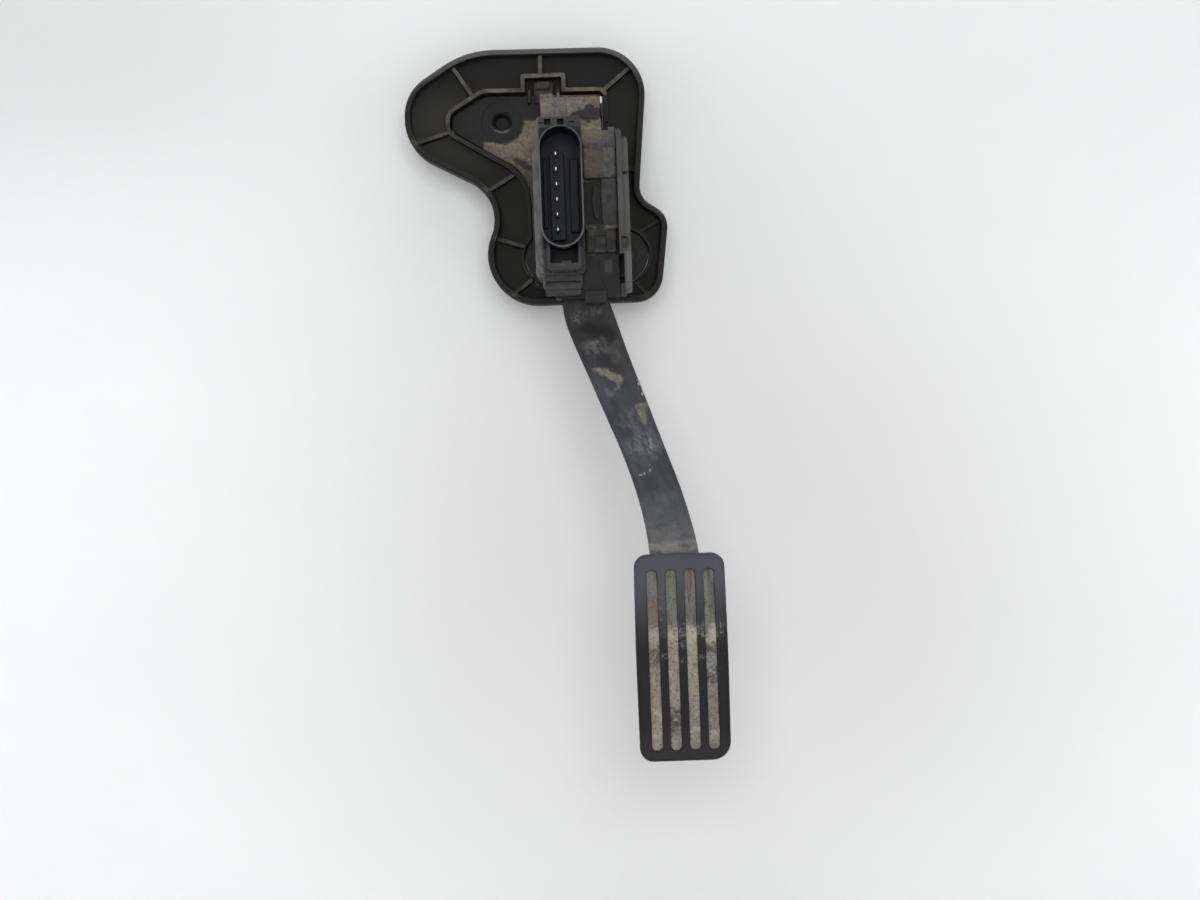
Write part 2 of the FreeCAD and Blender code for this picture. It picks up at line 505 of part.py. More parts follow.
def arm_section(s, inset_x=0.0, front=0.0, back=0.0, r=1.3):
    z, xl, xr, yf, th = s
    pts = [(xl + inset_x, yf + front, r), (xr - inset_x, yf + front, r),
           (xr - inset_x, yf + th + back, r * 0.6), (xl + inset_x, yf + th + back, r * 0.6)]
    return rounded(pts, lambda p, q: V(p, q, z))


limb = Part.makeLoft([arm_section(s) for s in ARM], True, False)
tail = Part.makeLoft([arm_section(s, r=0.9) for s in ARM_TAIL], True, True)
foot = prism_xz(rect(PAD_X - FOOT_W / 2, PAD_X + FOOT_W / 2, PAD_Z - FOOT_L / 2, PAD_Z + FOOT_L / 2, PAD_R - 1.6),
                PAD_Y + PAD_T - FOOT_T, PAD_Y + PAD_T)
foot = turned(foot, -PAD_TILT, PAD_Y, PAD_Z)
hollow = Part.makeLoft([arm_section(s, ARM_SIDE, ARM_SKIN, 3.0, 0.5) for s in ARM[1:8]], True, False)
limb_open = limb.cut(hollow)
stiff = []
for zc, slope in ((-66, 1), (-80, -1), (-94, 1), (-108, -1), (-122, 1), (-136, -1)):
    p = box(-30, 60, -80, -30, zc - 0.8, zc + 0.8)
    p.rotate(V(0.72 * (-zc) - 46.0, -45, zc), V(0, 1, 0), 32.0 * slope)
    stiff.append(p.common(limb).common(Part.makeLoft([arm_section(s, ARM_SIDE - 0.4, ARM_SKIN - 0.4, -1.2, 0.5) for s in ARM[1:8]], True, False)))
arm = limb_open.fuse([tail, upper, hub, nose, lever, foot] + stiff)
arm = arm.cut(cylx(PIN_R, -20, 20, PIV_Y, PIV_Z))
# keep the moulding from standing out in front of the pad's seat
seat_front = box(PAD_X - 40, PAD_X + 40, PAD_Y - 30, PAD_Y + PAD_T - FOOT_T, PAD_Z - 60, PAD_Z + FOOT_L / 2 + 0.9)
arm = arm.cut(turned(seat_front, -PAD_TILT, PAD_Y, PAD_Z))
put("pedal_arm", one(arm))

pin = cylx(PIN_R, -15.8, 16.2, PIV_Y, PIV_Z)
pin = pin.cut(box(-16.5, -14.9, PIV_Y - 5, PIV_Y + 5, PIV_Z + 2.6, PIV_Z + 5))
put("pivot_pin", one(pin))

left_bush = cylx(BUSH_R, -14.6, CH_X0, PIV_Y, PIV_Z).cut(cylx(PIN_R + BUSH_CLEAR, -17, 0, PIV_Y, PIV_Z))
put("left_bush", one(left_bush))
right_bush = cylx(BUSH_R, COVER_X0, 16.5, PIV_Y, PIV_Z).cut(cylx(PIN_R + BUSH_CLEAR, 5, 20, PIV_Y, PIV_Z))
put("right_bush", one(right_bush))

# rotor on the left end of the pin, with its target blade
rotor = cylx(6.4, -16.6, -15.0, PIV_Y, PIV_Z)
wing = prism_yz([(PIV_Y - 1, PIV_Z - 3, 0), (PIV_Y - 1, PIV_Z + 3, 0), (PIV_Y + 13.0, PIV_Z + 5.5, 1.0), (PIV_Y + 13.0, PIV_Z - 5.5, 1.0)], -16.2, -15.0)
rotor = rotor.fuse(wing).cut(cylx(PIN_R, -15.8, -14.0, PIV_Y, PIV_Z).cut(box(-16.5, -14.0, PIV_Y - 5, PIV_Y + 5, PIV_Z + 2.6, PIV_Z + 5)))
target = prism_yz([(PIV_Y + 7.6, PIV_Z - 3.6, 0.5), (PIV_Y + 7.6, PIV_Z + 3.6, 0.5), (PIV_Y + 12.2, PIV_Z + 4.4, 0.5), (PIV_Y + 12.2, PIV_Z - 4.4, 0.5)], -16.8, -15.8)
rotor = rotor.cut(target)
put("sensor_rotor", one(rotor))
put("rotor_target", one(target))

# pad: soft cover with four long grooves, seated over the foot plate
xl, xr, zb, zt = PAD_X - PAD_W / 2, PAD_X + PAD_W / 2, PAD_Z - PAD_L / 2, PAD_Z + PAD_L / 2
pad = prism_xz([(xl, zb, PAD_R), (xr, zb, PAD_R + 2.0), (xr + PAD_BOW, PAD_Z, 900.0), (xr, zt, PAD_R),
                (xl, zt, PAD_R), (xl - PAD_BOW, PAD_Z, 900.0)], PAD_Y, PAD_Y + PAD_T)
pad = soften(pad, 1.5, at_y(PAD_Y))
pad = soften(pad, 0.8, at_y(PAD_Y + PAD_T))
pad = pad.cut(prism_xz(rect(PAD_X - FOOT_W / 2, PAD_X + FOOT_W / 2, PAD_Z - FOOT_L / 2, PAD_Z + FOOT_L / 2, PAD_R - 1.6),
                       PAD_Y + PAD_T - FOOT_T, PAD_Y + PAD_T + 1))
for sx in SLOT_X:
    zc = PAD_Z + SLOT_DZ
    g = stadium_y(PAD_X + sx, SLOT_W / 2, zc - SLOT_L / 2, zc + SLOT_L / 2, PAD_Y + SLOT_D, PAD_Y - 2)
    g = soften(g, 0.5, at_y(PAD_Y + SLOT_D))
    pad = pad.cut(g)
pad = soften(pad, 0.35, lambda e: at_y(PAD_Y)(e) and e.BoundBox.XMax - e.BoundBox.XMin < SLOT_W + 0.1 and abs(e.BoundBox.Center.x - PAD_X) < 14)
pad = turned(pad, -PAD_TILT, PAD_Y, PAD_Z)
pad = pad.cut(arm)
put("pedal_pad", one(pad))

# ---------------------------------------------------------------------------
# friction shoe, springs and stops
shoe_z0 = nose_z + NOSE_R + 0.06
shoe = box(SPR_X - SHOE_HALF, SPR_X + SHOE_HALF, SPR_Y - SHOE_HALF, SPR_Y + SHOE_HALF, shoe_z0, shoe_z0 + SHOE_H)
shoe = soften(shoe, 1.0, lambda e: abs(e.BoundBox.ZMax - e.BoundBox.ZMin) > 5)
shoe = shoe.cut(cylz(6.3, shoe_z0 + SHOE_T, 40, SPR_X, SPR_Y))
shoe = shoe.fuse(cylz(2.5, shoe_z0 + SHOE_T - 0.5, shoe_z0 + SHOE_T + 3.5, SPR_X, SPR_Y))
ramp = Part.Face(Part.makePolygon([
    V(-20, SPR_Y - SHOE_HALF - 1, shoe_z0 - 1), V(-20, SPR_Y - SHOE_HALF + 3.0, shoe_z0 - 1),
    V(-20, SPR_Y - SHOE_HALF + 3.0, shoe_z0), V(-20, SPR_Y - SHOE_HALF - 1, shoe_z0 + 2.4),
    V(-20, SPR_Y - SHOE_HALF - 1, shoe_z0 - 1)])).extrude(V(40, 0, 0))
shoe = shoe.cut(ramp)
put("friction_shoe", one(shoe))


def coil(mean_r, wire_r, turns, z0, z1):
    height = (z1 - z0) - 2 * wire_r - 0.1
    helix = Part.makeHelix(height / turns, height, mean_r)
    edge = helix.Edges[0]
    start = edge.valueAt(edge.FirstParameter)
    tangent = edge.tangentAt(edge.FirstParameter)
    ring = Part.Wire([Part.Circle(start, tangent, wire_r).toShape()])
    pipe = Part.Wire(helix.Edges).makePipeShell([ring], True, True)
    pipe.translate(V(SPR_X, SPR_Y, z0 + wire_r + 0.05))
    return pipe


seat_z = shoe_z0 + SHOE_T
for name, mean_r, wire_r, turns in (("return_spring_outer", 5.2, 0.7, 6.5), ("return_spring_inner", 3.45, 0.45, 9.0)):
    s = coil(mean_r, wire_r, turns, seat_z, SPR_TOP)
    length = turns * math.hypot(2 * math.pi * mean_r, (SPR_TOP - seat_z) / turns)
    print(name, "expected volume", round(math.pi * wire_r ** 2 * length, 1))
    put(name, one(s))

# stops: a soft block on the front wall for idle, one on the boss for full travel
idle = box(-5.0, 5.0, FRONT_Y + WALL, -38.06, -40.0, -32.0)
idle = soften(idle, 0.6, at_y(-38.06))
put("idle_stop", one(idle))
full = prism_yz([(-14.6, -35.4, 0), (-14.6, -30.6, 0), (-19.88, -31.6, 0.8), (-18.96, -34.8, 0.8)], -5.0, 5.0)
put("full_travel_stop", one(full))

print("shoe rest bottom z", round(shoe_z0, 3), "spring seat z", round(seat_z, 3))
ratio = LEVER_R * 2 * math.sin(a) / math.radians(TRAVEL_DEG)
print("shoe lift per radian mm", round(ratio, 4), "travel mm", round(ratio * math.radians(TRAVEL_DEG), 3))
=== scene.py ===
import bpy
import bmesh
import math
from mathutils import Matrix, Vector, noise


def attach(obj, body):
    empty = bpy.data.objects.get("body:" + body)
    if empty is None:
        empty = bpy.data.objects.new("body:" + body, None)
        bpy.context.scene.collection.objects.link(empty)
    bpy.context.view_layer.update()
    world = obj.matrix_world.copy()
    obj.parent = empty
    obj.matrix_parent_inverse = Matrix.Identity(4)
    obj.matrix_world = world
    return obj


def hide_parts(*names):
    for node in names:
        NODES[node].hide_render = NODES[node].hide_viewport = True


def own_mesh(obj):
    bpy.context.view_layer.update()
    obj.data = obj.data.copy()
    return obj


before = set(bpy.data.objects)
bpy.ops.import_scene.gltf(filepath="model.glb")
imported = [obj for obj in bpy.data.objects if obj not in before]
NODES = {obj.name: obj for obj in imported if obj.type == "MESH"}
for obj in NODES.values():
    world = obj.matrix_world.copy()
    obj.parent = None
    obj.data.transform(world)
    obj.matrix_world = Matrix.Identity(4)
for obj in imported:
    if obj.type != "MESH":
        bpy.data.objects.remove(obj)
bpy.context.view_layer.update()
MM = 0.001

# ---------------------------------------------------------------------------
# camera, light and stage
scene = bpy.context.scene
scene.view_settings.view_transform = "Standard"
scene.view_settings.look = "None"
scene.view_settings.exposure = 0.0
scene.view_settings.gamma = 1.0

CAM_X, CAM_D, CAM_Z, CAM_ROLL = 2.7, 750.0, -107.7, 0.035
cam_data = bpy.data.cameras.new("camera")
cam_data.sensor_width = 36.0
cam_data.lens = 36.0 * (CAM_D / 0.43) / 1200.0
cam_data.clip_start = 0.01
cam_data.clip_end = 20.0
cam = bpy.data.objects.new("camera", cam_data)
scene.collection.objects.link(cam)
cam.matrix_world = (Matrix.Translation(Vector((CAM_X * MM, -CAM_D * MM, CAM_Z * MM)))
                    @ Matrix.Rotation(math.radians(90.0), 4, "X") @ Matrix.Rotation(-CAM_ROLL, 4, "Z"))
scene.camera = cam

world = bpy.data.worlds.new("studio")
scene.world = world
world.use_nodes = True
wn = world.node_tree
bg = wn.nodes["Background"]
bg.inputs["Color"].default_value = (0.95, 0.97, 1.0, 1.0)
# the room is dimmer straight in front of the part than at its sides
w_dir = wn.nodes.new("ShaderNodeTexCoord")
w_sep = wn.nodes.new("ShaderNodeSeparateXYZ")
w_map = wn.nodes.new("ShaderNodeMapRange")
w_map.interpolation_type = "SMOOTHSTEP"
w_map.inputs["From Min"].default_value = -1.0
w_map.inputs["From Max"].default_value = -0.5
w_map.inputs["To Min"].default_value = 0.16
w_map.inputs["To Max"].default_value = 0.44
wn.links.new(w_dir.outputs["Generated"], w_sep.inputs[0])
wn.links.new(w_sep.outputs["Y"], w_map.inputs["Value"])
wn.links.new(w_map.outputs[0], bg.inputs["Strength"])


def area(name, pos, target, size_x, size_y, watts, colour=(1.0, 1.0, 1.0)):
    d = bpy.data.lights.new(name, "AREA")
    d.shape = "RECTANGLE"
    d.size, d.size_y = size_x, size_y
    d.energy = watts
    d.color = colour
    o = bpy.data.objects.new(name, d)
    scene.collection.objects.link(o)
    o.location = Vector(pos)
    direction = Vector(target) - Vector(pos)
    o.rotation_euler = direction.to_track_quat("-Z", "Y").to_euler()
    return o


area("window", (0.05, -1.5, 0.24), (0.0, 0.0, -0.10), 1.1, 0.70, 11.0)
area("left", (-1.25, -0.75, -0.20), (0.0, 0.0, -0.14), 0.8, 1.0, 4.2)
area("right", (1.25, -0.75, 0.0), (0.0, 0.0, -0.12), 0.8, 1.0, 3.0)
area("above", (0.0, -0.55, 1.15), (0.0, -0.03, -0.05), 0.9, 0.5, 2.6)
area("behind", (0.3, 1.1, 0.5), (0.0, 0.0, -0.1), 0.9, 0.9, 7.0)


def stage_sheet():
    """Pale sheet: upright behind the part, then curving forward into a floor."""
    wall_y, floor_z, cove = 0.0125, -0.36, 0.12
    half, top, front = 1.6, 1.3, -1.6
    prof = [(wall_y, top), (wall_y, floor_z + cove)]
    for i in range(1, 13):
        a = math.radians(90.0 * i / 12)
        prof.append((wall_y - cove + cove * math.cos(a), floor_z + cove - cove * math.sin(a)))
    prof.append((front, floor_z))
    bm = bmesh.new()
    rows = []
    for y, z in prof:
        rows.append([bm.verts.new((x, y, z)) for x in (-half, half)])
    for a, b in zip(rows, rows[1:]):
        bm.faces.new((a[0], b[0], b[1], a[1]))
    bm.normal_update()
    me = bpy.data.meshes.new("stage_sheet")
    bm.to_mesh(me)
    bm.free()
    for p in me.polygons:
        p.use_smooth = True
    o = bpy.data.objects.new("stage_sheet", me)
    scene.collection.objects.link(o)
    return o


# ---------------------------------------------------------------------------
# node helpers: coordinates are the row frame in millimetres
class Look:
    def __init__(self, name):
        self.m = bpy.data.materials.new(name)
        self.m.use_nodes = True
        self.t = self.m.node_tree
        self.t.nodes.clear()
        self.out = self.t.nodes.new("ShaderNodeOutputMaterial")
        self.b = self.t.nodes.new("ShaderNodeBsdfPrincipled")
        self.t.links.new(self.b.outputs[0], self.out.inputs["Surface"])
        tc = self.t.nodes.new("ShaderNodeTexCoord")
        sc = self.t.nodes.new("ShaderNodeVectorMath")
        sc.operation = "SCALE"
        sc.inputs["Scale"].default_value = 1000.0
        self.t.links.new(tc.outputs["Object"], sc.inputs[0])
        self.mm = sc.outputs[0]
        self._sep = None

    def put(self, socket, value):
        if isinstance(value, bpy.types.NodeSocket):
            self.t.links.new(value, socket)
        elif isinstance(value, (tuple, list)) and socket.type == "RGBA" and len(value) == 3:
            socket.default_value = (*value, 1.0)
        else:
            socket.default_value = value

    def axes(self):
        if self._sep is None:
            s = self.t.nodes.new("ShaderNodeSeparateXYZ")
            self.t.links.new(self.mm, s.inputs[0])
            self._sep = s.outputs
        return self._sep

    def stretched(self, sx, sy, sz, rot=0.0):
        """Coordinates turned about the y axis by rot, then scaled: small numbers draw out along that axis."""
        n = self.t.nodes.new("ShaderNodeMapping")
        n.vector_type = "TEXTURE"
        n.inputs["Scale"].default_value = (1.0 / sx, 1.0 / sy, 1.0 / sz)
        n.inputs["Rotation"].default_value = (0.0, rot, 0.0)
        self.t.links.new(self.mm, n.inputs["Vector"])
        return n.outputs[0]

    def noise(self, scale, detail=3.0, rough=0.55, distort=0.0, vec=None, shift=0.0):
        n = self.t.nodes.new("ShaderNodeTexNoise")
        n.noise_dimensions = "4D"
        n.inputs["W"].default_value = shift
        n.inputs["Scale"].default_value = scale
        n.inputs["Detail"].default_value = detail
        n.inputs["Roughness"].default_value = rough
        n.inputs["Distortion"].default_value = distort
        self.t.links.new(vec if vec is not None else self.mm, n.inputs["Vector"])
        return n.outputs["Fac"]

    def cells(self, scale, feature="F1", shift=0.0):
        n = self.t.nodes.new("ShaderNodeTexVoronoi")
        n.feature = feature
        n.voronoi_dimensions = "4D"
        n.inputs["W"].default_value = shift
        n.inputs["Scale"].default_value = scale
        self.t.links.new(self.mm, n.inputs["Vector"])
        return n.outputs["Distance"]

    def math(self, op, a, b=0.0, clamp=False):
        n = self.t.nodes.new("ShaderNodeMath")
        n.operation = op
        n.use_clamp = clamp
        self.put(n.inputs[0], a)
        self.put(n.inputs[1], b)
        return n.outputs[0]

    def mul(self, *vals):
        r = vals[0]
        for v in vals[1:]:
            r = self.math("MULTIPLY", r, v)
        return r

    def most(self, *vals):
        r = vals[0]
        for v in vals[1:]:
            r = self.math("MAXIMUM", r, v)
        return r

    def add(self, a, b):
        return self.math("ADD", a, b)

    def flip(self, a):
        return self.math("SUBTRACT", 1.0, a)

    def step(self, v, lo, hi, c=0.0, d=1.0):
        n = self.t.nodes.new("ShaderNodeMapRange")
        n.interpolation_type = "SMOOTHSTEP"
        n.clamp = True
        self.put(n.inputs["Value"], v)
        n.inputs["From Min"].default_value = lo
        n.inputs["From Max"].default_value = hi
        n.inputs["To Min"].default_value = c
        n.inputs["To Max"].default_value = d
        return n.outputs[0]

    def between(self, v, lo, hi, soft):
        return self.mul(self.step(v, lo - soft, lo + soft), self.step(v, hi - soft, hi + soft, 1.0, 0.0))

    def patch(self, x0, x1, z0, z1, soft=1.5, jitter=0.0, shift=0.0):
        """Soft-edged patch of the x-z plane, its edge broken up by noise."""
        ax = self.axes()
        x, z = ax["X"], ax["Z"]
        if jitter:
            x = self.add(x, self.mul(self.add(self.noise(0.16, 3, shift=shift), -0.5), jitter * 2))
            z = self.add(z, self.mul(self.add(self.noise(0.16, 3, shift=shift + 7.0), -0.5), jitter * 2))
        return self.mul(self.between(x, x0, x1, soft), self.between(z, z0, z1, soft))

    def blob(self, cx, cz, rx, rz, soft=0.35, jitter=0.0, shift=0.0, turn=0.0):
        """Soft-edged ellipse in the x-z plane."""
        ax = self.axes()
        dx = self.add(ax["X"], -cx)
        dz = self.add(ax["Z"], -cz)
        c, s = math.cos(turn), math.sin(turn)
        u = self.add(self.mul(dx, c / rx), self.mul(dz, s / rx))
        v = self.add(self.mul(dx, -s / rz), self.mul(dz, c / rz))
        d = self.math("SQRT", self.add(self.mul(u, u), self.mul(v, v)))
        if jitter:
            d = self.add(d, self.mul(self.add(self.noise(0.22, 3, shift=shift), -0.5), jitter * 2))
        return self.step(d, 1.0 - soft, 1.0 + soft, 1.0, 0.0)

    def stroke(self, x0, z0, x1, z1, w0, w1, soft=0.25, jitter=0.0, fine=0.35, shift=0.0):
        """Brush stroke in the x-z plane from one point to another, half widths w0 to w1."""
        ax = self.axes()
        dx, dz = x1 - x0, z1 - z0
        ll = dx * dx + dz * dz
        px, pz = self.add(ax["X"], -x0), self.add(ax["Z"], -z0)
        t = self.math("MULTIPLY", self.add(self.mul(px, dx), self.mul(pz, dz)), 1.0 / ll, clamp=True)
        qx = self.math("SUBTRACT", px, self.mul(t, dx))
        qz = self.math("SUBTRACT", pz, self.mul(t, dz))
        d = self.math("SQRT", self.add(self.mul(qx, qx), self.mul(qz, qz)))
        if jitter:
            d = self.add(d, self.mul(self.add(self.noise(fine, 4, 0.6, shift=shift), -0.5), jitter * 2))
        d = self.math("SUBTRACT", d, self.add(self.mul(t, w1 - w0), w0))
        return self.step(d, -soft, soft, 1.0, 0.0)

    def mix(self, fac, a, b):
        n = self.t.nodes.new("ShaderNodeMix")
        n.data_type = "RGBA"
        n.clamp_factor = True
        self.put(n.inputs[0], fac)
        self.put(n.inputs[6], a)
        self.put(n.inputs[7], b)
        return n.outputs[2]

    def mixf(self, fac, a, b):
        n = self.t.nodes.new("ShaderNodeMix")
        n.data_type = "FLOAT"
        n.clamp_factor = True
        self.put(n.inputs[0], fac)
        self.put(n.inputs[2], a)
        self.put(n.inputs[3], b)
        return n.outputs[0]

    def crevice(self, mm=4.0, lo=0.35, hi=0.9):
        """1 in corners and gaps, 0 in the open."""
        n = self.t.nodes.new("ShaderNodeAmbientOcclusion")
        n.samples = 4
        n.only_local = False
        n.inputs["Distance"].default_value = mm * MM
        return self.step(n.outputs["AO"], lo, hi, 1.0, 0.0)

    def edge(self, mm=0.9, lo=0.45, hi=0.85):
        """1 along outside edges, 0 on flats."""
        n = self.t.nodes.new("ShaderNodeAmbientOcclusion")
        n.samples = 4
        n.inside = True
        n.only_local = True
        n.inputs["Distance"].default_value = mm * MM
        return self.step(n.outputs["AO"], lo, hi, 1.0, 0.0)

    def facing(self, axis=1, sign=-1.0, lo=0.3, hi=0.9):
        """1 where the surface faces along one row axis."""
        g = self.t.nodes.new("ShaderNodeNewGeometry")
        s = self.t.nodes.new("ShaderNodeSeparateXYZ")
        self.t.links.new(g.outputs["Normal"], s.inputs[0])
        return self.step(self.mul(s.outputs[axis], sign), lo, hi)

    def bump(self, height, strength=0.3, distance=0.0002, soft_edge=0.0):
        n = self.t.nodes.new("ShaderNodeBump")
        n.inputs["Strength"].default_value = strength
        n.inputs["Distance"].default_value = distance
        self.put(n.inputs["Height"], height)
        if soft_edge:
            bv = self.t.nodes.new("ShaderNodeBevel")
            bv.samples = 3
            bv.inputs["Radius"].default_value = soft_edge * MM
            self.t.links.new(bv.outputs[0], n.inputs["Normal"])
        self.t.links.new(n.outputs[0], self.b.inputs["Normal"])

    def finish(self, colour, rough, metallic=None, specular=None):
        self.put(self.b.inputs["Base Color"], colour)
        self.put(self.b.inputs["Roughness"], rough)
        if metallic is not None:
            self.b.inputs["Metallic"].default_value = metallic
        if specular is not None:
            self.b.inputs["Specular IOR Level"].default_value = specular
        return self.m


DUST = (0.150, 0.134, 0.116)
DUST_WARM = (0.168, 0.146, 0.104)
DUST_DARK = (0.066, 0.057, 0.045)
MOSS = (0.206, 0.196, 0.108)


def scratches(L, shift=0.0, amount=0.66):
    """Fine light scratches in two directions."""
    a = L.noise(1.0, 2, 0.5, vec=L.stretched(3.2, 3.2, 0.16, 0.35), shift=shift)
    b = L.noise(1.0, 2, 0.5, vec=L.stretched(0.14, 2.8, 2.8, -0.2), shift=shift + 3.0)
    return L.most(L.step(a, amount, amount + 0.07), L.step(b, amount + 0.02, amount + 0.09))


def moulded(name, base, dark, light, rough=0.52, grain=2.2, soft_edge=0.35, wear=0.5, dust=0.3, specular=0.4, extra=None):
    """Moulded black plastic: cloudy tone, fine grain, worn edges, dust in corners."""
    L = Look(name)
    cloud = L.noise(0.07, 4, 0.6)
    fine = L.noise(grain, 2, 0.6)
    speck = L.step(L.noise(0.9, 2, 0.5, shift=4.0), 0.66, 0.74)
    col = L.mix(L.step(cloud, 0.35, 0.7), dark, base)
    col = L.mix(L.mul(speck, 0.35), col, light)
    col = L.mix(L.mul(scratches(L), 0.22), col, light)
    rgh = L.mixf(cloud, rough - 0.06, rough + 0.1)
    if wear:
        e = L.mul(L.edge(), L.step(L.noise(0.35, 3, shift=2.0), 0.35, 0.65, 0.25, 1.0), wear)
        col = L.mix(e, col, light)
    if dust:
        d = L.mul(L.crevice(), L.step(L.noise(0.22, 4, shift=9.0), 0.38, 0.66), dust)
        col = L.mix(d, col, DUST_DARK)
        rgh = L.mixf(d, rgh, 0.9)
    if extra:
        col, rgh = extra(L, col, rgh)
    L.bump(fine, 0.22, 0.00012, soft_edge)
    return L.finish(col, rgh, specular=specular)


# ---------------------------------------------------------------------------
# looks of the moulded pieces
def plate_dirt_and_shading(L, col, rgh):
    ax = L.axes()
    height = L.mul(ax["Y"], -1.0)
    flat = L.facing(1, -1.0, 0.55, 0.9)
    up = L.facing(2, 1.0, 0.05, 0.6)
    # dust lies on the wall round the cut-out, most of it along the top
    tops = L.mul(L.step(height, 4.6, 5.4), L.step(height, 8.2, 8.6, 1.0, 0.0), flat)
    upper = L.step(ax["Z"], 20.0, 45.0, 0.04, 1.0)
    patchy = L.step(L.noise(0.20, 4, shift=12.0), 0.34, 0.60, 0.35, 1.0)
    beside = L.flip(L.patch(6.0, 40.0, -50.0, 43.4, 0.6))
    d = L.mul(tops, upper, patchy, beside, 0.80)
    low = L.mul(L.step(height, 3.2, 3.8), L.step(height, 5.0, 4.6, 0.0, 1.0), flat, patchy, 0.20)
    film = L.mul(L.step(L.noise(0.05, 4, shift=14.0), 0.40, 0.72), flat, 0.22)
    specks = L.mul(L.step(L.cells(0.33, shift=3.0), 0.10, 0.05, 0.0, 1.0), L.step(L.noise(0.08, 2, shift=15.0), 0.48, 0.6), flat, 0.35)
    # painted highlight: the rim's rounded edge is lighter where it faces up and along the top
    rim_high = L.step(height, 7.0, 8.9)
    rim_highlight = L.most(L.mul(rim_high, up, L.step(ax["Z"], -20.0, 50.0, 0.25, 0.85)), L.mul(rim_high, L.step(ax["Z"], 44.0, 62.0, 0.0, 0.6)))
    # painted shade: the floor darkens to near black under the top rim
    dim = L.mul(L.step(ax["Z"], 40.0, 54.0), L.step(height, 4.4, 3.4, 0.0, 1.0), 0.55)
    pale = L.mul(L.patch(-80.0, -45.0, 12.0, 46.0, 7.0, 4.0, 18.0), L.step(height, 4.4, 3.4, 0.0, 1.0), 0.55)
    tops_lit = L.mul(L.most(L.stroke(-72.0, 25.4, -57.5, 29.1, 1.3, 1.3, 0.4, 0.5, 0.4, 19.0), L.stroke(-43.0, 4.2, -30.6, 9.7, 1.3, 1.3, 0.4, 0.5, 0.4, 19.2),
                            L.mul(L.stroke(-38.0, -16.3, -27.5, -18.8, 1.2, 1.2, 0.4, 0.5, 0.4, 19.4), 0.6), L.mul(L.stroke(-32.0, -41.4, -24.7, -34.9, 1.2, 1.2, 0.4, 0.5, 0.4, 19.6), 0.8),
                            L.mul(L.stroke(19.3, -36.5, 24.6, -42.5, 1.2, 1.2, 0.4, 0.5, 0.4, 19.8), 0.5)), L.step(height, 2.7, 3.2), flat, patchy, 0.60)
    col = L.mix(film, col, (0.034, 0.032, 0.028))
    col = L.mix(dim, col, (0.0058, 0.0057, 0.0056))
    col = L.mix(pale, col, (0.030, 0.029, 0.026))
    col = L.mix(specks, col, (0.090, 0.086, 0.078))
    col = L.mix(rim_highlight, col, (0.110, 0.109, 0.111))
    col = L.mix(low, col, DUST_DARK)
    col = L.mix(tops_lit, col, (0.108, 0.100, 0.083))
    col = L.mix(d, col, L.mix(L.step(L.noise(0.1, 3, shift=16.0), 0.35, 0.65), (0.088, 0.080, 0.064), (0.150, 0.137, 0.110)))
    return col, L.mixf(L.most(d, film), rgh, 0.92)


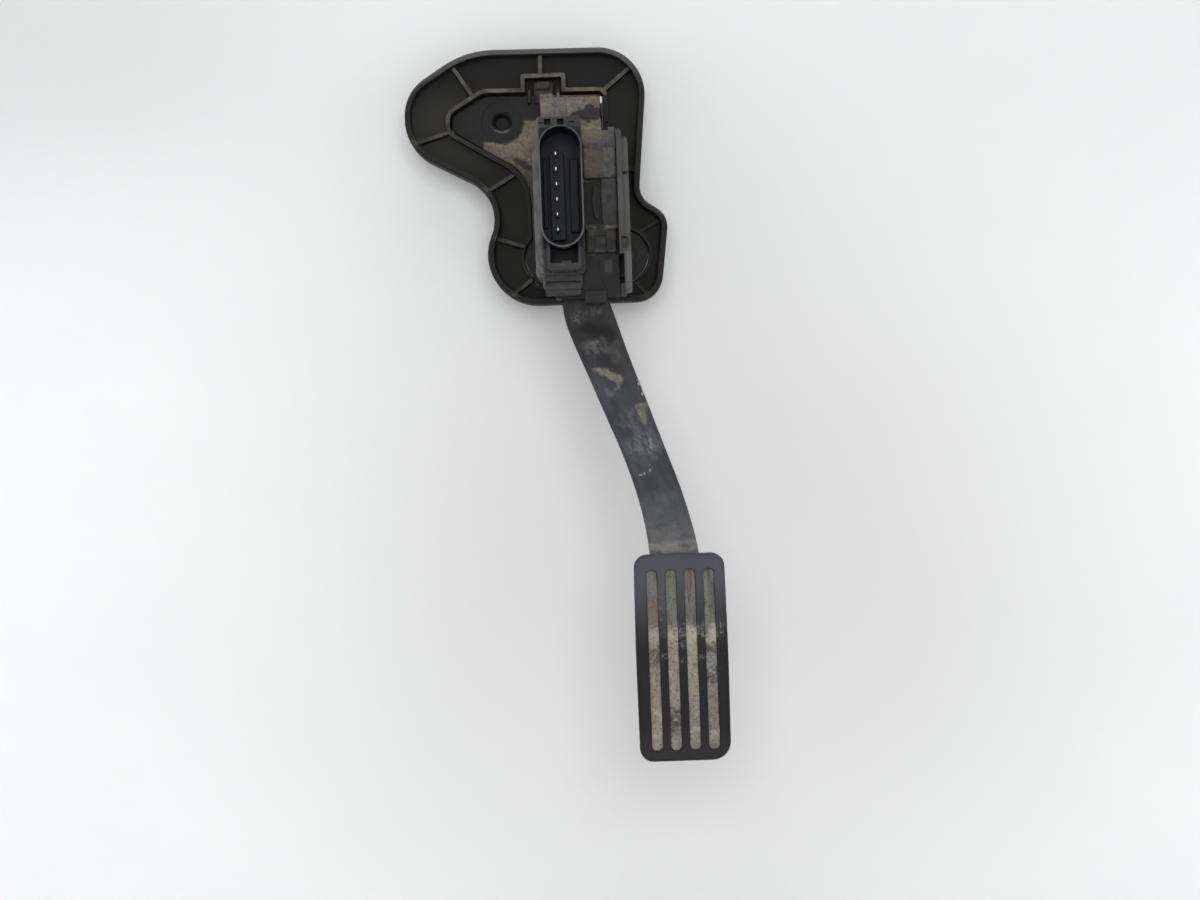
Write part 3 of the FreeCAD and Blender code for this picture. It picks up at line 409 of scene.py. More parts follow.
def housing_dirt_and_glint(L, col, rgh):
    ax = L.axes()
    front = L.facing(1, -1.0, 0.15, 0.8)
    # bare, clean ear round its recess, dust beside and below it
    clean = L.most(L.blob(-34.3, 33.9, 9.6, 9.6, 0.07, 0.05, 1.0), L.patch(-80, -18.0, 34.2, 60, 0.5, 0.5, 3.0),
                   L.patch(-80, -42.4, 0, 60, 0.6, 0.5, 2.0), L.stroke(-48.0, 30.5, -34.0, 29.0, 4.6, 4.2, 0.4, 0.5, 0.2, 2.5))
    flange = L.mul(L.patch(-45, -12, 2, 36, 1.0, 0.8, 4.0), L.flip(clean), L.step(ax["Z"], 2.0, 14.0))
    shade = L.mul(L.most(L.stroke(-29.0, 17.6, -21.0, 12.4, 1.0, 1.8, 0.9, 1.2, 0.3, 14.0), L.blob(-20.5, 11.0, 2.6, 5.0, 0.4, 0.3, 15.0)), 0.85)
    flange = L.mul(flange, L.flip(shade))
    flank = L.mul(L.patch(-24.0, -16.0, -13.0, 13.0, 1.2, 0.6, 16.0), L.step(L.noise(0.25, 4, shift=17.0), 0.3, 0.6, 0.5, 1.0), 0.75)
    # dark bare patch on the right half of the deck, ragged towards the left
    dark_patch = L.most(L.stroke(-3.6, 33.2, 3.2, 34.8, 1.2, 3.2, 0.5, 2.2, 0.42, 6.0), L.stroke(3.0, 31.0, 6.6, 34.6, 3.0, 2.4, 0.5, 2.0, 0.5, 6.5))
    deck = L.mul(L.patch(-17.8, 9.0, 24, 45, 0.5, 0.5, 5.0), L.flip(L.mul(dark_patch, 0.92)))
    block = L.mul(L.patch(-0.6, 13.4, 1.2, 16.2, 0.6, 0.5, 7.0), 0.60)
    slope = L.mul(L.patch(-0.6, 13.4, 15.6, 27.5, 1.0, 1.2, 7.5), 0.66)
    bar = L.mul(L.patch(6.6, 13.5, -16.8, 2.2, 0.4, 0.3, 8.2), L.step(L.noise(0.3, 4, shift=25.0), 0.3, 0.6, 0.6, 1.0), 0.52)
    shelf = L.mul(L.patch(0.2, 13.4, -18.8, -16.4, 0.3, 0.4, 8.0), L.step(L.noise(0.45, 3, shift=23.0), 0.36, 0.58), 0.85)
    ledge = L.mul(L.patch(0.2, 11.5, -28.7, -27.2, 0.3, 0.4, 8.5), L.step(L.noise(0.45, 3, shift=24.0), 0.36, 0.58), 0.55)
    low = L.mul(L.patch(0, 12, -30, -18, 1.0, 1.0, 9.0), L.step(L.noise(0.3, 4, shift=22.0), 0.45, 0.7), 0.30)
    tongue = L.mul(L.patch(-24, -8, 44, 52, 0.8, 0.6, 10.0), 0.14)
    zone = L.most(flange, deck, block, slope, shelf, ledge, low, tongue, bar)
    mottle = L.step(L.noise(0.42, 5, 0.72, shift=30.0), 0.32, 0.60, 0.45, 1.0)
    d = L.mul(zone, mottle, L.step(front, 0.0, 1.0, 0.35, 1.0))
    tone = L.mix(L.step(L.noise(0.14, 4, shift=31.0), 0.35, 0.65), (0.130, 0.117, 0.100), (0.178, 0.160, 0.138))
    tone = L.mix(L.mul(L.patch(-18.0, -8.0, 33.0, 44.0, 2.0, 2.0, 35.0), 0.8), tone, (0.158, 0.146, 0.143))
    tone = L.mix(L.mul(L.patch(1.5, 9.0, 35.0, 44.0, 1.5, 1.5, 36.0), 0.8), tone, (0.180, 0.138, 0.098))
    tone = L.mix(L.step(ax["X"], -12.0, -20.0, 0.0, 1.0), tone, DUST_WARM)
    tone = L.mix(L.mul(block, 0.9), tone, (0.140, 0.122, 0.094))
    tone = L.mix(L.step(bar, 0.1, 0.3), tone, L.mix(L.step(ax["Z"], -14.0, -4.0), (0.098, 0.092, 0.082), (0.112, 0.112, 0.113)))
    tone = L.mix(L.mul(L.patch(8.2, 13.6, 1.0, 14.6, 1.6, 1.2, 7.2), 0.8), tone, (0.158, 0.150, 0.133))
    tone = L.mix(L.mul(L.blob(5.2, 7.6, 2.2, 4.6, 0.6, 0.5, 7.6), 0.6), tone, (0.140, 0.104, 0.082))
    moss = L.mul(L.most(L.blob(4.4, 21.2, 6.2, 4.4, 0.4, 0.5, 11.0), L.stroke(3.4, 24.0, 4.4, 30.0, 1.5, 0.8, 0.5, 1.2, 0.5, 11.5)),
                 L.step(L.noise(0.55, 5, 0.7, shift=32.0), 0.34, 0.54, 0.40, 1.0))
    tone = L.mix(L.mul(moss, 0.9), tone, MOSS)
    crust = L.mul(L.step(L.noise(0.75, 5, 0.72, shift=33.0), 0.53, 0.63), L.most(L.mul(zone, 0.55), L.mul(L.patch(-12.0, 3.0, 33.5, 41.6, 1.2, 2.0, 37.0), 0.9)))
    tone = L.mix(crust, tone, (0.275, 0.256, 0.228))
    pits = L.mul(L.step(L.noise(0.9, 4, 0.7, shift=38.0), 0.57, 0.66), zone, 0.6)
    tone = L.mix(pits, tone, (0.060, 0.052, 0.044))
    brown = L.mul(L.most(shelf, ledge), L.step(L.noise(0.5, 3, shift=34.0), 0.42, 0.6), 0.8)
    tone = L.mix(brown, tone, (0.085, 0.058, 0.040))
    d = L.most(d, L.mul(moss, front, 0.8))
    hump = L.mul(L.step(L.add(L.add(ax["X"], L.mul(ax["Z"], -0.65)), 4.7), -0.8, 0.8), L.between(ax["Z"], 15.4, 28.0, 0.4),
                 L.step(ax["Y"], -18.0, -22.0, 0.0, 1.0))
    hump_tone = L.mix(L.step(L.noise(0.3, 4, shift=39.0), 0.35, 0.65), (0.080, 0.081, 0.085), (0.108, 0.109, 0.113))
    tone = L.mix(hump, tone, hump_tone)
    d = L.most(d, L.mul(hump, 0.9))
    inset = L.mul(L.patch(6.8, 10.8, -36.2, -30.4, 0.4), L.step(L.noise(0.3, 3, shift=26.0), 0.3, 0.6, 0.5, 1.0), 0.45)
    col = L.mix(inset, col, (0.085, 0.081, 0.076))
    ring = L.most(L.mul(L.blob(-34.3, 33.9, 8.8, 8.8, 0.06), 0.75), L.mul(L.patch(-60.0, -18.4, 26.0, 48.0, 0.8), 0.65))
    col = L.mix(ring, col, (0.0062, 0.0063, 0.0070))
    col = L.mix(flank, col, (0.078, 0.077, 0.076))
    # painted highlight: a light crescent glint on the lower lip of the ear's recess
    crescent_glint = L.mul(L.blob(-34.3, 33.7, 4.7, 4.7, 0.05), L.flip(L.blob(-34.5, 34.9, 4.3, 4.3, 0.10)), L.step(ax["Z"], 31.4, 30.2, 0.0, 1.0), 0.50)
    col = L.mix(crescent_glint, col, (0.155, 0.152, 0.142))
    col = L.mix(d, col, tone)
    return col, L.mixf(d, rgh, 0.94)


def cover_dirt(L, col, rgh):
    ax = L.axes()
    outer = L.mul(L.step(ax["X"], 15.4, 16.2), L.step(L.noise(0.2, 4, shift=9.0), 0.3, 0.65, 0.5, 1.0), 0.50)
    lower = L.mul(L.step(ax["X"], 15.2, 16.0), L.step(ax["Z"], -22.0, -30.0, 0.0, 1.0), 0.60)
    nose = L.step(L.mul(ax["Y"], -1.0), 43.0, 45.0)
    notch = L.mul(L.patch(13.4, 18.4, -28.0, -21.0, 0.5, 0.6, 1.0), L.step(L.noise(0.5, 3, shift=4.0), 0.36, 0.54), nose, 0.6)
    rust = L.mul(L.patch(12.0, 19.0, -47.0, -42.6, 0.6, 0.8, 2.0), L.step(L.noise(0.5, 3, shift=5.0), 0.46, 0.6), nose, 0.7)
    nick = L.mul(L.patch(15.2, 17.4, 2.9, 4.3, 0.15, 0.3, 3.0), nose, 0.9)
    film = L.mul(L.step(L.noise(0.1, 4, shift=3.0), 0.4, 0.65), 0.40)
    streak = L.mul(L.step(L.noise(0.4, 3, 0.6, vec=L.stretched(1.0, 1.0, 0.16), shift=7.0), 0.5, 0.68), 0.30)
    col = L.mix(film, col, (0.072, 0.070, 0.066))
    col = L.mix(outer, col, (0.098, 0.097, 0.094))
    col = L.mix(streak, col, (0.095, 0.094, 0.092))
    col = L.mix(lower, col, (0.135, 0.135, 0.132))
    col = L.mix(L.most(notch, rust), col, (0.046, 0.034, 0.026))
    col = L.mix(nick, col, (0.012, 0.012, 0.012))
    return col, rgh


def sensor_dirt_and_shading(L, col, rgh):
    ax = L.axes()
    depth = L.mul(ax["Y"], -1.0)
    # painted highlight: the shroud's rim is lighter, most of all towards the bottom
    rim_highlight = L.mul(L.step(depth, 61.3, 61.8), L.step(ax["Z"], 16.0, 2.0, 0.10, 0.58))
    # painted shade: the inside of the shroud and the window below it are painted near black
    inside = L.mul(L.patch(-17.2, -0.8, -26.6, 20.7, 0.12), L.step(depth, 61.5, 60.9, 0.0, 1.0), L.step(depth, 46.0, 47.2))
    window = L.mul(L.patch(-14.2, -3.3, -32.9, -26.4, 0.15), L.step(depth, 57.0, 56.0, 0.0, 1.0))
    steps = L.mul(L.patch(-24.0, 2.0, -46.0, -30.0, 2.0, 1.5, 1.0), L.step(L.noise(0.3, 4, shift=6.0), 0.42, 0.66), 0.40)
    left = L.mul(L.step(ax["X"], -16.6, -18.4, 0.0, 1.0), L.step(L.noise(0.14, 4, shift=8.0), 0.30, 0.60, 0.4, 1.0), L.step(depth, 30.0, 46.0, 0.30, 1.0), 0.75)
    col = L.mix(steps, col, (0.060, 0.056, 0.048))
    col = L.mix(left, col, (0.160, 0.159, 0.158))
    col = L.mix(rim_highlight, col, (0.120, 0.123, 0.130))
    col = L.mix(window, col, (0.0070, 0.0072, 0.0085))
    col = L.mix(inside, col, (0.0038, 0.0048, 0.0083))
    return col, L.mixf(inside, rgh, 0.6)


def arm_wear_and_shading(L, col, rgh):
    ax = L.axes()
    # painted shade: the top of the arm, under the housing, is darker, broken up by noise
    top = L.mul(L.step(ax["Z"], -84.0, -56.0), L.step(L.noise(0.12, 4, 0.65, shift=43.0), 0.36, 0.6, 0.5, 1.0), 0.85)
    cloud = L.mul(L.most(L.stroke(-2.0, -57.6, 8.4, -61.0, 2.4, 3.4, 1.8, 2.6, 0.22, 7.0), L.mul(L.stroke(4.0, -69.0, 10.0, -74.0, 2.2, 2.0, 1.8, 2.6, 0.25, 7.5), 0.7)), 0.9)
    dusty = L.mul(L.most(L.blob(-4.4, -53.4, 3.0, 3.2, 0.6, 0.7, 8.0), L.blob(2.6, -50.6, 3.4, 2.0, 0.6, 0.7, 8.5), L.mul(L.blob(10.6, -69.0, 2.0, 5.0, 0.6, 0.6, 9.0), 0.6)),
                  L.step(L.noise(0.7, 5, 0.7, shift=46.0), 0.40, 0.60), 0.6)
    # rubbed patches, one bent, one hooked
    front = L.facing(1, -1.0, 0.3, 0.8)
    holes = L.mul(L.step(L.noise(0.85, 5, 0.72, shift=40.0), 0.30, 0.52, 0.15, 1.0), front)
    tan = L.mul(L.most(L.stroke(1.4, -74.9, 6.5, -76.6, 0.4, 1.4, 0.8, 1.7, 0.62, 1.0),
                       L.stroke(6.5, -76.9, 11.6, -79.6, 1.4, 1.5, 0.8, 1.7, 0.62, 1.5),
                       L.mul(L.stroke(11.4, -80.4, 10.6, -83.6, 1.0, 0.5, 0.7, 1.8, 0.7, 3.0), 0.6),
                       L.mul(L.stroke(18.4, -90.6, 22.6, -90.0, 0.9, 1.0, 0.6, 1.6, 0.62, 2.0), 0.75),
                       L.stroke(19.8, -92.6, 21.2, -97.6, 1.5, 0.7, 0.8, 1.6, 0.62, 2.5)), holes)
    haze = L.mul(L.step(L.noise(0.34, 4, 0.62, shift=41.0, vec=L.stretched(1.15, 1.0, 0.62, -0.55)), 0.38, 0.66), front)
    grey = L.mul(L.most(L.blob(2.6, -65.8, 4.4, 3.6, 0.6, 0.6, 4.0), L.blob(20.0, -106.0, 7.0, 5.6, 0.6, 0.6, 5.0, -0.6),
                        L.mul(L.blob(15.2, -95.6, 4.6, 4.0, 0.6, 0.6, 6.0), 0.7), L.mul(L.blob(8.0, -84.6, 3.0, 2.0, 0.6, 0.6, 6.5), 0.6),
                        L.mul(L.blob(25.0, -129.0, 5.0, 4.0, 0.6, 0.6, 6.8), 0.35)), haze)
    bright = L.mul(L.most(L.blob(1.6, -66.6, 2.6, 2.2, 0.6, 0.6, 9.5), L.blob(21.4, -106.4, 4.4, 3.0, 0.6, 0.6, 9.8, -0.7)),
                   L.step(L.noise(0.5, 4, 0.66, shift=47.0, vec=L.stretched(1.25, 1.0, 0.50, -0.55)), 0.46, 0.68), front)
    dots = L.mul(L.most(L.blob(18.6, -118.2, 0.7, 0.3, 0.5, 0.5, 8.1), L.blob(20.1, -117.7, 0.35, 0.5, 0.5, 0.5, 8.2), L.blob(22.4, -116.5, 0.35, 0.6, 0.5, 0.5, 8.3),
                        L.mul(L.blob(22.2, -114.4, 0.3, 0.3, 0.5), 0.4), L.mul(L.blob(14.9, -109.2, 0.3, 0.4, 0.5), 0.3)), 0.75)
    chips = L.mul(L.most(L.blob(19.3, -81.5, 0.35, 0.7, 0.5, 0.5, 10.0), L.blob(20.6, -85.6, 0.35, 0.6, 0.5, 0.5, 10.5), L.mul(L.blob(18.7, -79.9, 0.25, 0.3, 0.4), 0.5)), 0.9)
    side = L.mul(L.step(L.add(L.add(ax["X"], L.mul(ax["Z"], 0.328)), 6.8), -5.0, -0.8), L.between(ax["Z"], -90.0, -54.0, 7.0), L.step(L.noise(0.2, 4, shift=51.0), 0.3, 0.6, 0.4, 1.0), 0.5)
    # painted light: the arm turns lighter and bluer towards its lower end, broken up by noise
    low = L.mul(L.step(ax["Z"], -118.0, -136.0, 0.0, 1.0), L.step(L.noise(0.16, 5, 0.65, shift=44.0), 0.3, 0.62, 0.35, 1.0), 0.50)
    band = L.mul(L.step(ax["Z"], -130.0, -146.0, 0.0, 1.0), L.step(L.noise(0.24, 5, 0.7, shift=45.0), 0.36, 0.62), 0.50)
    # painted highlight: a bright band across the arm just above the pad, where it flares
    flare_highlight = L.mul(L.between(ax["Z"], -149.0, -144.6, 0.9), L.step(L.noise(0.34, 5, 0.7, shift=49.0, vec=L.stretched(0.5, 1.0, 1.0)), 0.36, 0.56), 0.60)
    smear = L.mul(L.step(L.noise(0.11, 5, 0.65, shift=42.0, vec=L.stretched(1.2, 1.0, 0.45, -0.35)), 0.38, 0.64), 0.62)
    white = L.step(L.cells(0.13, shift=2.0), 0.055, 0.03, 0.0, 0.6)
    col = L.mix(smear, col, (0.056, 0.058, 0.068))
    col = L.mix(top, col, (0.019, 0.018, 0.0165))
    col = L.mix(cloud, col, (0.0075, 0.0075, 0.0080))
    col = L.mix(side, col, (0.046, 0.043, 0.035))
    col = L.mix(dusty, col, (0.110, 0.100, 0.084))
    col = L.mix(low, col, (0.098, 0.100, 0.110))
    col = L.mix(band, col, (0.155, 0.150, 0.138))
    col = L.mix(flare_highlight, col, (0.235, 0.226, 0.205))
    col = L.mix(L.mul(grey, 0.56), col, (0.168, 0.168, 0.172))
    col = L.mix(L.mul(bright, 0.7), col, (0.27, 0.27, 0.275))
    col = L.mix(L.mul(tan, 0.88), col, L.mix(L.step(L.noise(0.5, 4, shift=39.0), 0.36, 0.62), (0.140, 0.135, 0.108), (0.208, 0.196, 0.152)))
    col = L.mix(L.most(dots, chips), col, (0.33, 0.33, 0.32))
    col = L.mix(white, col, (0.26, 0.26, 0.26))
    dull = L.step(ax["Z"], -84.0, -58.0, 0.0, 0.7)
    return col, L.mixf(L.most(tan, grey, dull, L.mul(band, 0.8)), rgh, 0.85)


def pad_wear_and_sheen(L, col, rgh):
    ax = L.axes()
    front = L.facing(1, -1.0, 0.4, 0.9)
    sheen = L.mul(L.step(ax["Z"], -188.0, -158.0), L.step(L.noise(0.06, 3, shift=53.0), 0.2, 0.7, 0.75, 1.0))
    # painted light: the lowest strip of the pad is lighter, as if lit from below
    bottom_light = L.mul(L.step(ax["Z"], -214.0, -228.0, 0.0, 1.0), 0.35)
    specks = L.step(L.noise(1.1, 5, 0.78, shift=50.0), 0.56, 0.66)
    thick = L.step(L.noise(0.28, 3, 0.6, shift=56.0), 0.44, 0.62)
    smear = L.mul(L.patch(22.0, 47.0, -195.0, -167.0, 4.0, 5.0, 1.0), specks, thick, front, 0.75)
    tide = L.mul(L.patch(28.0, 48.5, -182.0, -176.0, 1.4, 2.6, 4.0), L.step(L.noise(0.9, 5, 0.78, shift=58.0), 0.48, 0.60), front, 0.65)
    haze = L.mul(L.blob(24.8, -171.6, 1.8, 7.6, 0.7, 0.6, 5.0), L.step(L.noise(0.5, 5, 0.72, shift=55.0), 0.42, 0.60), front, 0.55)
    low = L.mul(L.patch(15, 49, -228.0, -190.0, 5.0, 4.0, 2.0), L.step(L.noise(0.7, 5, 0.7, shift=52.0), 0.60, 0.72), front, 0.22)
    col = L.mix(L.mul(sheen, 0.88), col, (0.064, 0.066, 0.077))
    col = L.mix(bottom_light, col, (0.034, 0.033, 0.033))
    col = L.mix(L.most(smear, low), col, (0.165, 0.152, 0.132))
    col = L.mix(haze, col, (0.135, 0.126, 0.126))
    col = L.mix(tide, col, (0.235, 0.215, 0.176))
    crumbs = L.mul(L.most(L.blob(32.2, -184.3, 1.2, 1.8, 0.5, 0.6, 57.0), L.blob(25.2, -188.4, 1.7, 1.2, 0.5, 0.6, 57.2), L.blob(32.0, -190.4, 1.0, 1.4, 0.5, 0.6, 57.4),
                          L.blob(39.3, -189.6, 1.0, 1.3, 0.5, 0.6, 57.6)), L.step(L.noise(1.5, 5, 0.75, shift=59.0), 0.48, 0.62), front, 0.55)
    col = L.mix(crumbs, col, (0.240, 0.226, 0.195))
    return col, L.mixf(L.most(smear, low, tide), L.mixf(sheen, L.add(rgh, 0.1), L.add(rgh, -0.05)), 0.9)


M_PLATE = moulded("plate_plastic", (0.0150, 0.0143, 0.0132), (0.0105, 0.0100, 0.0093), (0.046, 0.043, 0.038), 0.66, wear=0.4, dust=0.15, specular=0.22, extra=plate_dirt_and_shading)
M_HOUSING = moulded("housing_plastic", (0.0160, 0.0160, 0.0164), (0.0110, 0.0110, 0.0113), (0.055, 0.054, 0.053), 0.62, wear=0.45, dust=0.35, specular=0.25, extra=housing_dirt_and_glint)
M_COVER = moulded("cover_plastic", (0.0540, 0.0538, 0.0534), (0.0400, 0.0398, 0.0395), (0.105, 0.104, 0.102), 0.60, wear=0.5, dust=0.35, specular=0.25, extra=cover_dirt)
M_SENSOR = moulded("sensor_plastic", (0.0330, 0.0334, 0.0350), (0.0230, 0.0233, 0.0246), (0.090, 0.091, 0.094), 0.58, wear=0.5, dust=0.25, specular=0.25, extra=sensor_dirt_and_shading)
M_ARM = moulded("arm_plastic", (0.0285, 0.0294, 0.0342), (0.0200, 0.0208, 0.0246), (0.070, 0.071, 0.074), 0.48, grain=1.6, wear=0.55, dust=0.0, specular=0.24, extra=arm_wear_and_shading)
M_PAD = moulded("pad_rubber", (0.0118, 0.0114, 0.0112), (0.0085, 0.0082, 0.0081), (0.044, 0.044, 0.045), 0.58, grain=1.3, wear=0.25, dust=0.0, specular=0.24, extra=pad_wear_and_sheen)


def simple(name, base, other, rough, metallic=0.0, scale=0.6, strength=0.15, stretch=None, specular=None):
    L = Look(name)
    vec = L.stretched(*stretch) if stretch else None
    n = L.noise(scale, 3, 0.6, vec=vec)
    c = L.mix(L.step(n, 0.3, 0.7), base, other)
    d = L.mul(L.crevice(2.0), L.step(L.noise(0.4, 3, shift=5.0), 0.4, 0.65), 0.35)
    c = L.mix(d, c, DUST_DARK)
    L.bump(n, strength, 0.00008)
    return L.finish(c, L.mixf(n, rough - 0.08, rough + 0.1), metallic=metallic, specular=specular)


M_SOFT = simple("soft_rubber", (0.020, 0.020, 0.020), (0.032, 0.031, 0.030), 0.75, scale=1.6)
M_BUSH = simple("bush_plastic", (0.62, 0.58, 0.47), (0.50, 0.46, 0.36), 0.5, scale=0.4)
M_STEEL = simple("steel", (0.55, 0.55, 0.56), (0.40, 0.40, 0.41), 0.32, metallic=1.0, scale=1.0, stretch=(4.0, 0.4, 0.4))
M_SPRING = simple("spring_steel", (0.34, 0.34, 0.35), (0.22, 0.22, 0.23), 0.38, metallic=1.0, scale=1.2)
M_BRASS = simple("brass", (0.72, 0.53, 0.22), (0.55, 0.38, 0.15), 0.36, metallic=1.0, scale=1.0)
M_TIN = simple("tinned", (0.66, 0.65, 0.63), (0.50, 0.49, 0.47), 0.28, metallic=1.0, scale=1.5)
M_BOARD = simple("board", (0.012, 0.075, 0.030), (0.020, 0.110, 0.045), 0.35, scale=0.5)
M_CHIP = simple("chip", (0.014, 0.014, 0.015), (0.024, 0.024, 0.025), 0.6, scale=2.0)

FINISH = {
    "backing_plate": M_PLATE, "pedal_housing": M_HOUSING, "side_cover": M_COVER, "sensor_housing": M_SENSOR,
    "sensor_seal": M_SOFT, "circuit_board": M_BOARD, "sensor_chip": M_CHIP, "contact_pins": M_TIN,
    "threaded_inserts": M_BRASS, "left_bush": M_BUSH, "right_bush": M_BUSH, "idle_stop": M_SOFT,
    "full_travel_stop": M_SOFT, "return_spring_outer": M_SPRING, "return_spring_inner": M_SPRING,
    "pedal_arm": M_ARM, "pedal_pad": M_PAD, "pivot_pin": M_STEEL, "sensor_rotor": M_BUSH, "rotor_target": M_STEEL,
    "friction_shoe": M_BUSH,
}
for n, m in FINISH.items():
    o = NODES[n]
    if not o.material_slots:
        o.data.materials.append(m)
    for s in o.material_slots:
        s.material = m

# ---------------------------------------------------------------------------
# stage
L = Look("stage_pale")
n = L.noise(0.012, 3)
c = L.mix(L.step(n, 0.3, 0.7), (0.865, 0.867, 0.868), (0.895, 0.896, 0.896))
# painted shadow: the backdrop darkens round the arm and pad, towards the top and towards the upper left
c = L.mix(L.mul(L.blob(44.0, -150.0, 165.0, 175.0, 0.8), 0.9), c, (0.670, 0.670, 0.660))
c = L.mix(L.step(L.axes()["Z"], -90.0, 60.0, 0.0, 0.75), c, (0.745, 0.746, 0.746))
c = L.mix(L.mul(L.step(L.axes()["X"], -60.0, -220.0, 0.0, 1.0), L.step(L.axes()["Z"], 0.0, 80.0, 0.0, 1.0), 0.6), c, (0.640, 0.640, 0.640))
L.finish(c, 0.75, specular=0.1)
# the backdrop glows where it shows through the slit beside the deck
L.b.inputs["Emission Color"].default_value = (1.0, 1.0, 1.0, 1.0)
L.put(L.b.inputs["Emission Strength"], L.mul(L.blob(8.25, 45.5, 0.55, 1.6, 0.25), 0.5))
geo = L.t.nodes.new("ShaderNodeNewGeometry")
clear = L.t.nodes.new("ShaderNodeBsdfTransparent")
pick = L.t.nodes.new("ShaderNodeMixShader")
L.t.links.new(geo.outputs["Backfacing"], pick.inputs[0])
L.t.links.new(L.b.outputs[0], pick.inputs[1])
L.t.links.new(clear.outputs[0], pick.inputs[2])
L.t.links.new(pick.outputs[0], L.out.inputs["Surface"])
sheet = stage_sheet()
sheet.data.materials.append(L.m)

# ---------------------------------------------------------------------------
# packed dirt in the pad's grooves
PAD_C = (31.95, -72.0, -189.4)
PAD_TILT = math.radians(1.5)
SLOT_X = (-10.9, -3.5, 3.9, 11.3)
SLOT_W, SLOT_L, SLOT_D, SLOT_DZ = 4.3, 70.5, 2.6, -0.9
TIDE = 12.3              # above this height on the pad the dirt lies deeper


def from_pad(x, d, z):
    """Pad's own place (x from its centre, d behind its front face, z along it) to the row frame, in metres."""
    y = PAD_C[1] + d * math.cos(PAD_TILT) + z * math.sin(PAD_TILT)
    zz = PAD_C[2] - d * math.sin(PAD_TILT) + z * math.cos(PAD_TILT)
    return Vector(((PAD_C[0] + x) * MM, y * MM, zz * MM))


def groove_dirt(index, sx):
    r = SLOT_W / 2 - 0.06
    half = SLOT_L / 2 - 0.06
    nu, nv = 12, 220
    bm = bmesh.new()
    top, low = [], []
    for j in range(nv + 1):
        v = -half + 2 * half * j / nv
        over = max(0.0, abs(v) - (half - r))
        w = math.sqrt(max(0.0, r * r - over * over))
        w = max(w, 0.05)
        row_t, row_l = [], []
        for i in range(nu + 1):
            u = -w + 2 * w * i / nu
            p = Vector((u * 0.55 + index * 11.0, 3.0 + index, v * 0.16))
            q = Vector((u * 1.6 + index * 5.0, 9.0, v * 0.9))
            lump = noise.fractal(p, 1.0, 2.0, 4) * 0.42 + noise.fractal(q, 0.9, 2.1, 3) * 0.16
            edge = (u / max(w, 0.3)) ** 2
            end = (over / r) ** 2 if over > 0 else 0.0
            rise = min(max((v - TIDE - 1.2 * noise.noise(Vector((index * 3.0, u * 0.7, 1.0)))) / 2.2 + 0.5, 0.0), 1.0)
            depth = (0.62 + lump - 0.10 * edge) * (1.0 - rise) + (1.55 + 0.35 * lump - 0.30 * edge) * rise + 0.5 * end
            depth = min(max(depth, 0.12), 2.3)
            row_t.append(bm.verts.new(from_pad(sx + u, depth, v + SLOT_DZ)))
            row_l.append(bm.verts.new(from_pad(sx + u, SLOT_D - 0.02, v + SLOT_DZ)))
        top.append(row_t)
        low.append(row_l)
    for j in range(nv):
        for i in range(nu):
            bm.faces.new((top[j][i], top[j + 1][i], top[j + 1][i + 1], top[j][i + 1]))
            bm.faces.new((low[j][i], low[j][i + 1], low[j + 1][i + 1], low[j + 1][i]))
        bm.faces.new((top[j][0], low[j][0], low[j + 1][0], top[j + 1][0]))
        bm.faces.new((top[j][nu], top[j + 1][nu], low[j + 1][nu], low[j][nu]))
    for i in range(nu):
        bm.faces.new((top[0][i], top[0][i + 1], low[0][i + 1], low[0][i]))
        bm.faces.new((top[nv][i], low[nv][i], low[nv][i + 1], top[nv][i + 1]))
    bmesh.ops.recalc_face_normals(bm, faces=bm.faces)
    me = bpy.data.meshes.new(f"groove_dirt_{index + 1}")
    bm.to_mesh(me)
    bm.free()
    for p in me.polygons:
        p.use_smooth = True
    o = bpy.data.objects.new(f"groove_dirt_{index + 1}", me)
    scene.collection.objects.link(o)
    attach(o, "pedal")
    return o


L = Look("packed_dirt")
ax = L.axes()
ragged = L.add(ax["Z"], L.mul(L.add(L.noise(0.45, 5, 0.75, shift=20.0), -0.5), 15.0))
below = L.step(ragged, -176.4, -178.4, 0.0, 1.0)
big = L.noise(0.15, 4, 0.65, vec=L.stretched(1.6, 1.0, 0.6))
mid = L.noise(0.75, 5, 0.75, shift=3.0)
fine = L.noise(1.25, 4, 0.8, shift=4.0)
grit = L.cells(1.15, shift=1.0)
sand = L.cells(1.9, shift=2.0)
hue = L.noise(0.10, 2, 0.5, vec=L.stretched(1.3, 1.0, 0.45), shift=11.0)
G1, G2, G3, G4 = [PAD_C[0] + s for s in SLOT_X]


def spot(gx, z0, z1, soft=1.6):
    """Stretch of one groove between two heights, with ragged ends."""
    return L.mul(L.between(ax["X"], gx - 2.8, gx + 2.8, 0.2), L.between(ragged, z0, z1, soft))


# lower, fuller part: pale grey to cream, each groove with its own stretches
c = L.mix(L.step(big, 0.36, 0.62), (0.158, 0.148, 0.130), (0.262, 0.246, 0.214))
c = L.mix(L.mul(spot(G1, -194.0, -178.0), 0.75), c, (0.238, 0.239, 0.233))
c = L.mix(L.mul(spot(G1, -226.0, -200.0), 0.70), c, (0.236, 0.208, 0.172))
c = L.mix(L.mul(spot(G2, -204.0, -178.0), 0.75), c, (0.248, 0.206, 0.168))
c = L.mix(L.mul(spot(G3, -206.0, -177.0), 0.75), c, (0.268, 0.245, 0.190))
c = L.mix(L.mul(spot(G3, -226.0, -210.0), 0.70), c, (0.196, 0.196, 0.160))
c = L.mix(L.mul(spot(G4, -193.0, -188.0), 0.75), c, (0.190, 0.196, 0.205))
c = L.mix(L.mul(spot(G4, -226.0, -198.0), 0.65), c, (0.186, 0.164, 0.154))
c = L.mix(L.mul(L.step(hue, 0.56, 0.66), 0.45), c, (0.215, 0.160, 0.124))
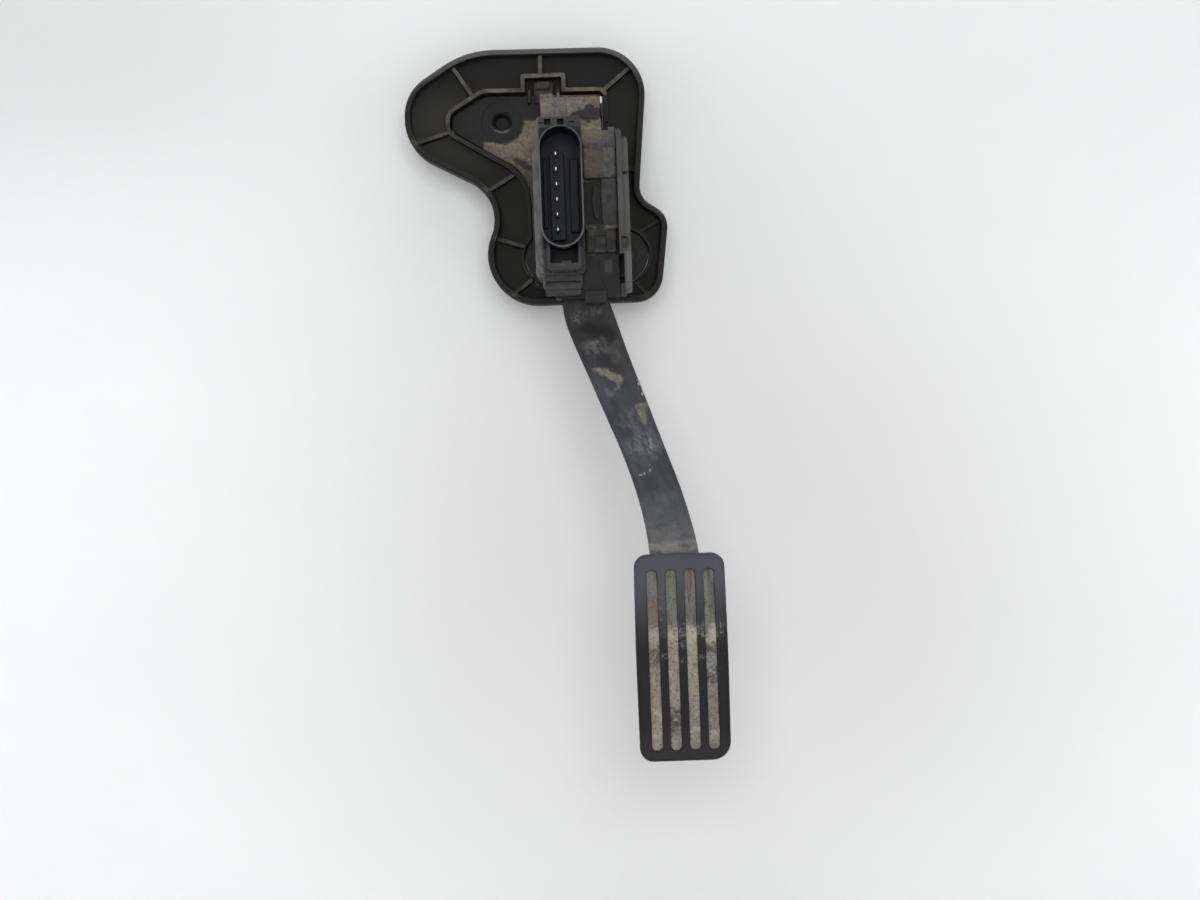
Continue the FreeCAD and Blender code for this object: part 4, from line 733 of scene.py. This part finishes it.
c = L.mix(L.mul(L.step(L.noise(0.24, 4, shift=8.0), 0.54, 0.64), 0.60), c, (0.345, 0.328, 0.285))
dim = L.most(L.mul(spot(G1, -193.0, -185.0), 0.75), L.mul(spot(G2, -218.0, -209.0), 0.9), L.mul(spot(G4, -188.6, -182.5), 0.95),
             L.mul(spot(G4, -200.0, -193.5), 0.85))
c = L.mix(L.mul(dim, L.step(mid, 0.40, 0.54)), c, (0.044, 0.040, 0.035))
c = L.mix(L.mul(L.step(mid, 0.54, 0.64), 0.70), c, (0.070, 0.060, 0.050))
c = L.mix(L.mul(L.step(fine, 0.53, 0.64), 0.55), c, (0.345, 0.330, 0.295))
c = L.mix(L.mul(L.step(fine, 0.44, 0.34, 0.0, 1.0), 0.60), c, (0.080, 0.070, 0.060))
# upper, thinner film: streaky, greenish and brown by turns
film = L.mix(L.step(L.noise(0.18, 4, 0.6, shift=12.0, vec=L.stretched(2.2, 1.0, 0.4)), 0.35, 0.65), (0.128, 0.124, 0.108), (0.205, 0.198, 0.178))
film = L.mix(L.mul(spot(G1, -165.0, -150.0), 0.65), film, (0.176, 0.166, 0.164))
film = L.mix(L.mul(spot(G1, -178.5, -166.0), 0.80), film, (0.182, 0.142, 0.106))
film = L.mix(L.mul(spot(G2, -172.0, -150.0), 0.80), film, (0.165, 0.172, 0.130))
film = L.mix(L.mul(spot(G3, -164.0, -150.0), 0.65), film, (0.166, 0.136, 0.118))
film = L.mix(L.mul(L.step(L.noise(0.9, 4, 0.65, shift=13.0, vec=L.stretched(1.4, 1.0, 0.12)), 0.50, 0.64), L.step(ax["X"], 31.0, 34.0, 0.35, 0.85)), film, (0.058, 0.058, 0.058))
film = L.mix(L.mul(L.step(fine, 0.55, 0.66), 0.5), film, (0.265, 0.258, 0.242))
film = L.mix(L.mul(L.step(fine, 0.44, 0.34, 0.0, 1.0), 0.55), film, (0.060, 0.056, 0.050))
crest = L.mul(L.step(ragged, -187.0, -181.0), L.step(ragged, -176.4, -178.4, 0.0, 1.0), L.step(L.noise(0.3, 4, 0.65, shift=14.0), 0.38, 0.56),
              L.step(ax["X"], 23.0, 27.0, 0.35, 1.0))
c = L.mix(below, film, c)
c = L.mix(L.mul(crest, 0.8), c, (0.390, 0.365, 0.300))
# dark grains and small stones
dots = L.cells(2.4, shift=5.0)
pepper = L.mul(L.step(L.cells(0.85, shift=6.0), 0.27, 0.14, 0.0, 1.0), L.step(L.noise(0.35, 3, shift=25.0), 0.34, 0.50))
c = L.mix(L.mul(pepper, 0.85), c, (0.030, 0.026, 0.022))
c = L.mix(L.mul(L.step(grit, 0.34, 0.18, 0.0, 1.0), L.step(L.noise(0.22, 3, shift=21.0), 0.38, 0.54), 0.85), c, (0.020, 0.018, 0.016))
c = L.mix(L.mul(L.step(dots, 0.36, 0.22, 0.0, 1.0), L.step(L.noise(0.3, 3, shift=24.0), 0.40, 0.56), 0.75), c, (0.030, 0.027, 0.024))
c = L.mix(L.mul(L.step(sand, 0.22, 0.10, 0.0, 1.0), L.step(L.noise(0.26, 3, shift=22.0), 0.46, 0.60), 0.70), c, (0.085, 0.046, 0.030))
L.bump(L.add(mid, L.mul(grit, 0.4)), 0.6, 0.0004)
M_DIRT = L.finish(c, 0.95, specular=0.12)
for i, sx in enumerate(SLOT_X):
    groove_dirt(i, sx).data.materials.append(M_DIRT)

# ---------------------------------------------------------------------------
# return springs: copies of the coils fixed to the housing body, the originals hidden
for name in ("return_spring_outer", "return_spring_inner"):
    src = NODES[name]
    o = bpy.data.objects.new(name + "_coil", src.data.copy())
    scene.collection.objects.link(o)
    o.matrix_world = src.matrix_world.copy()
    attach(o, "housing")
    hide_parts(name)
    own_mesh(o)
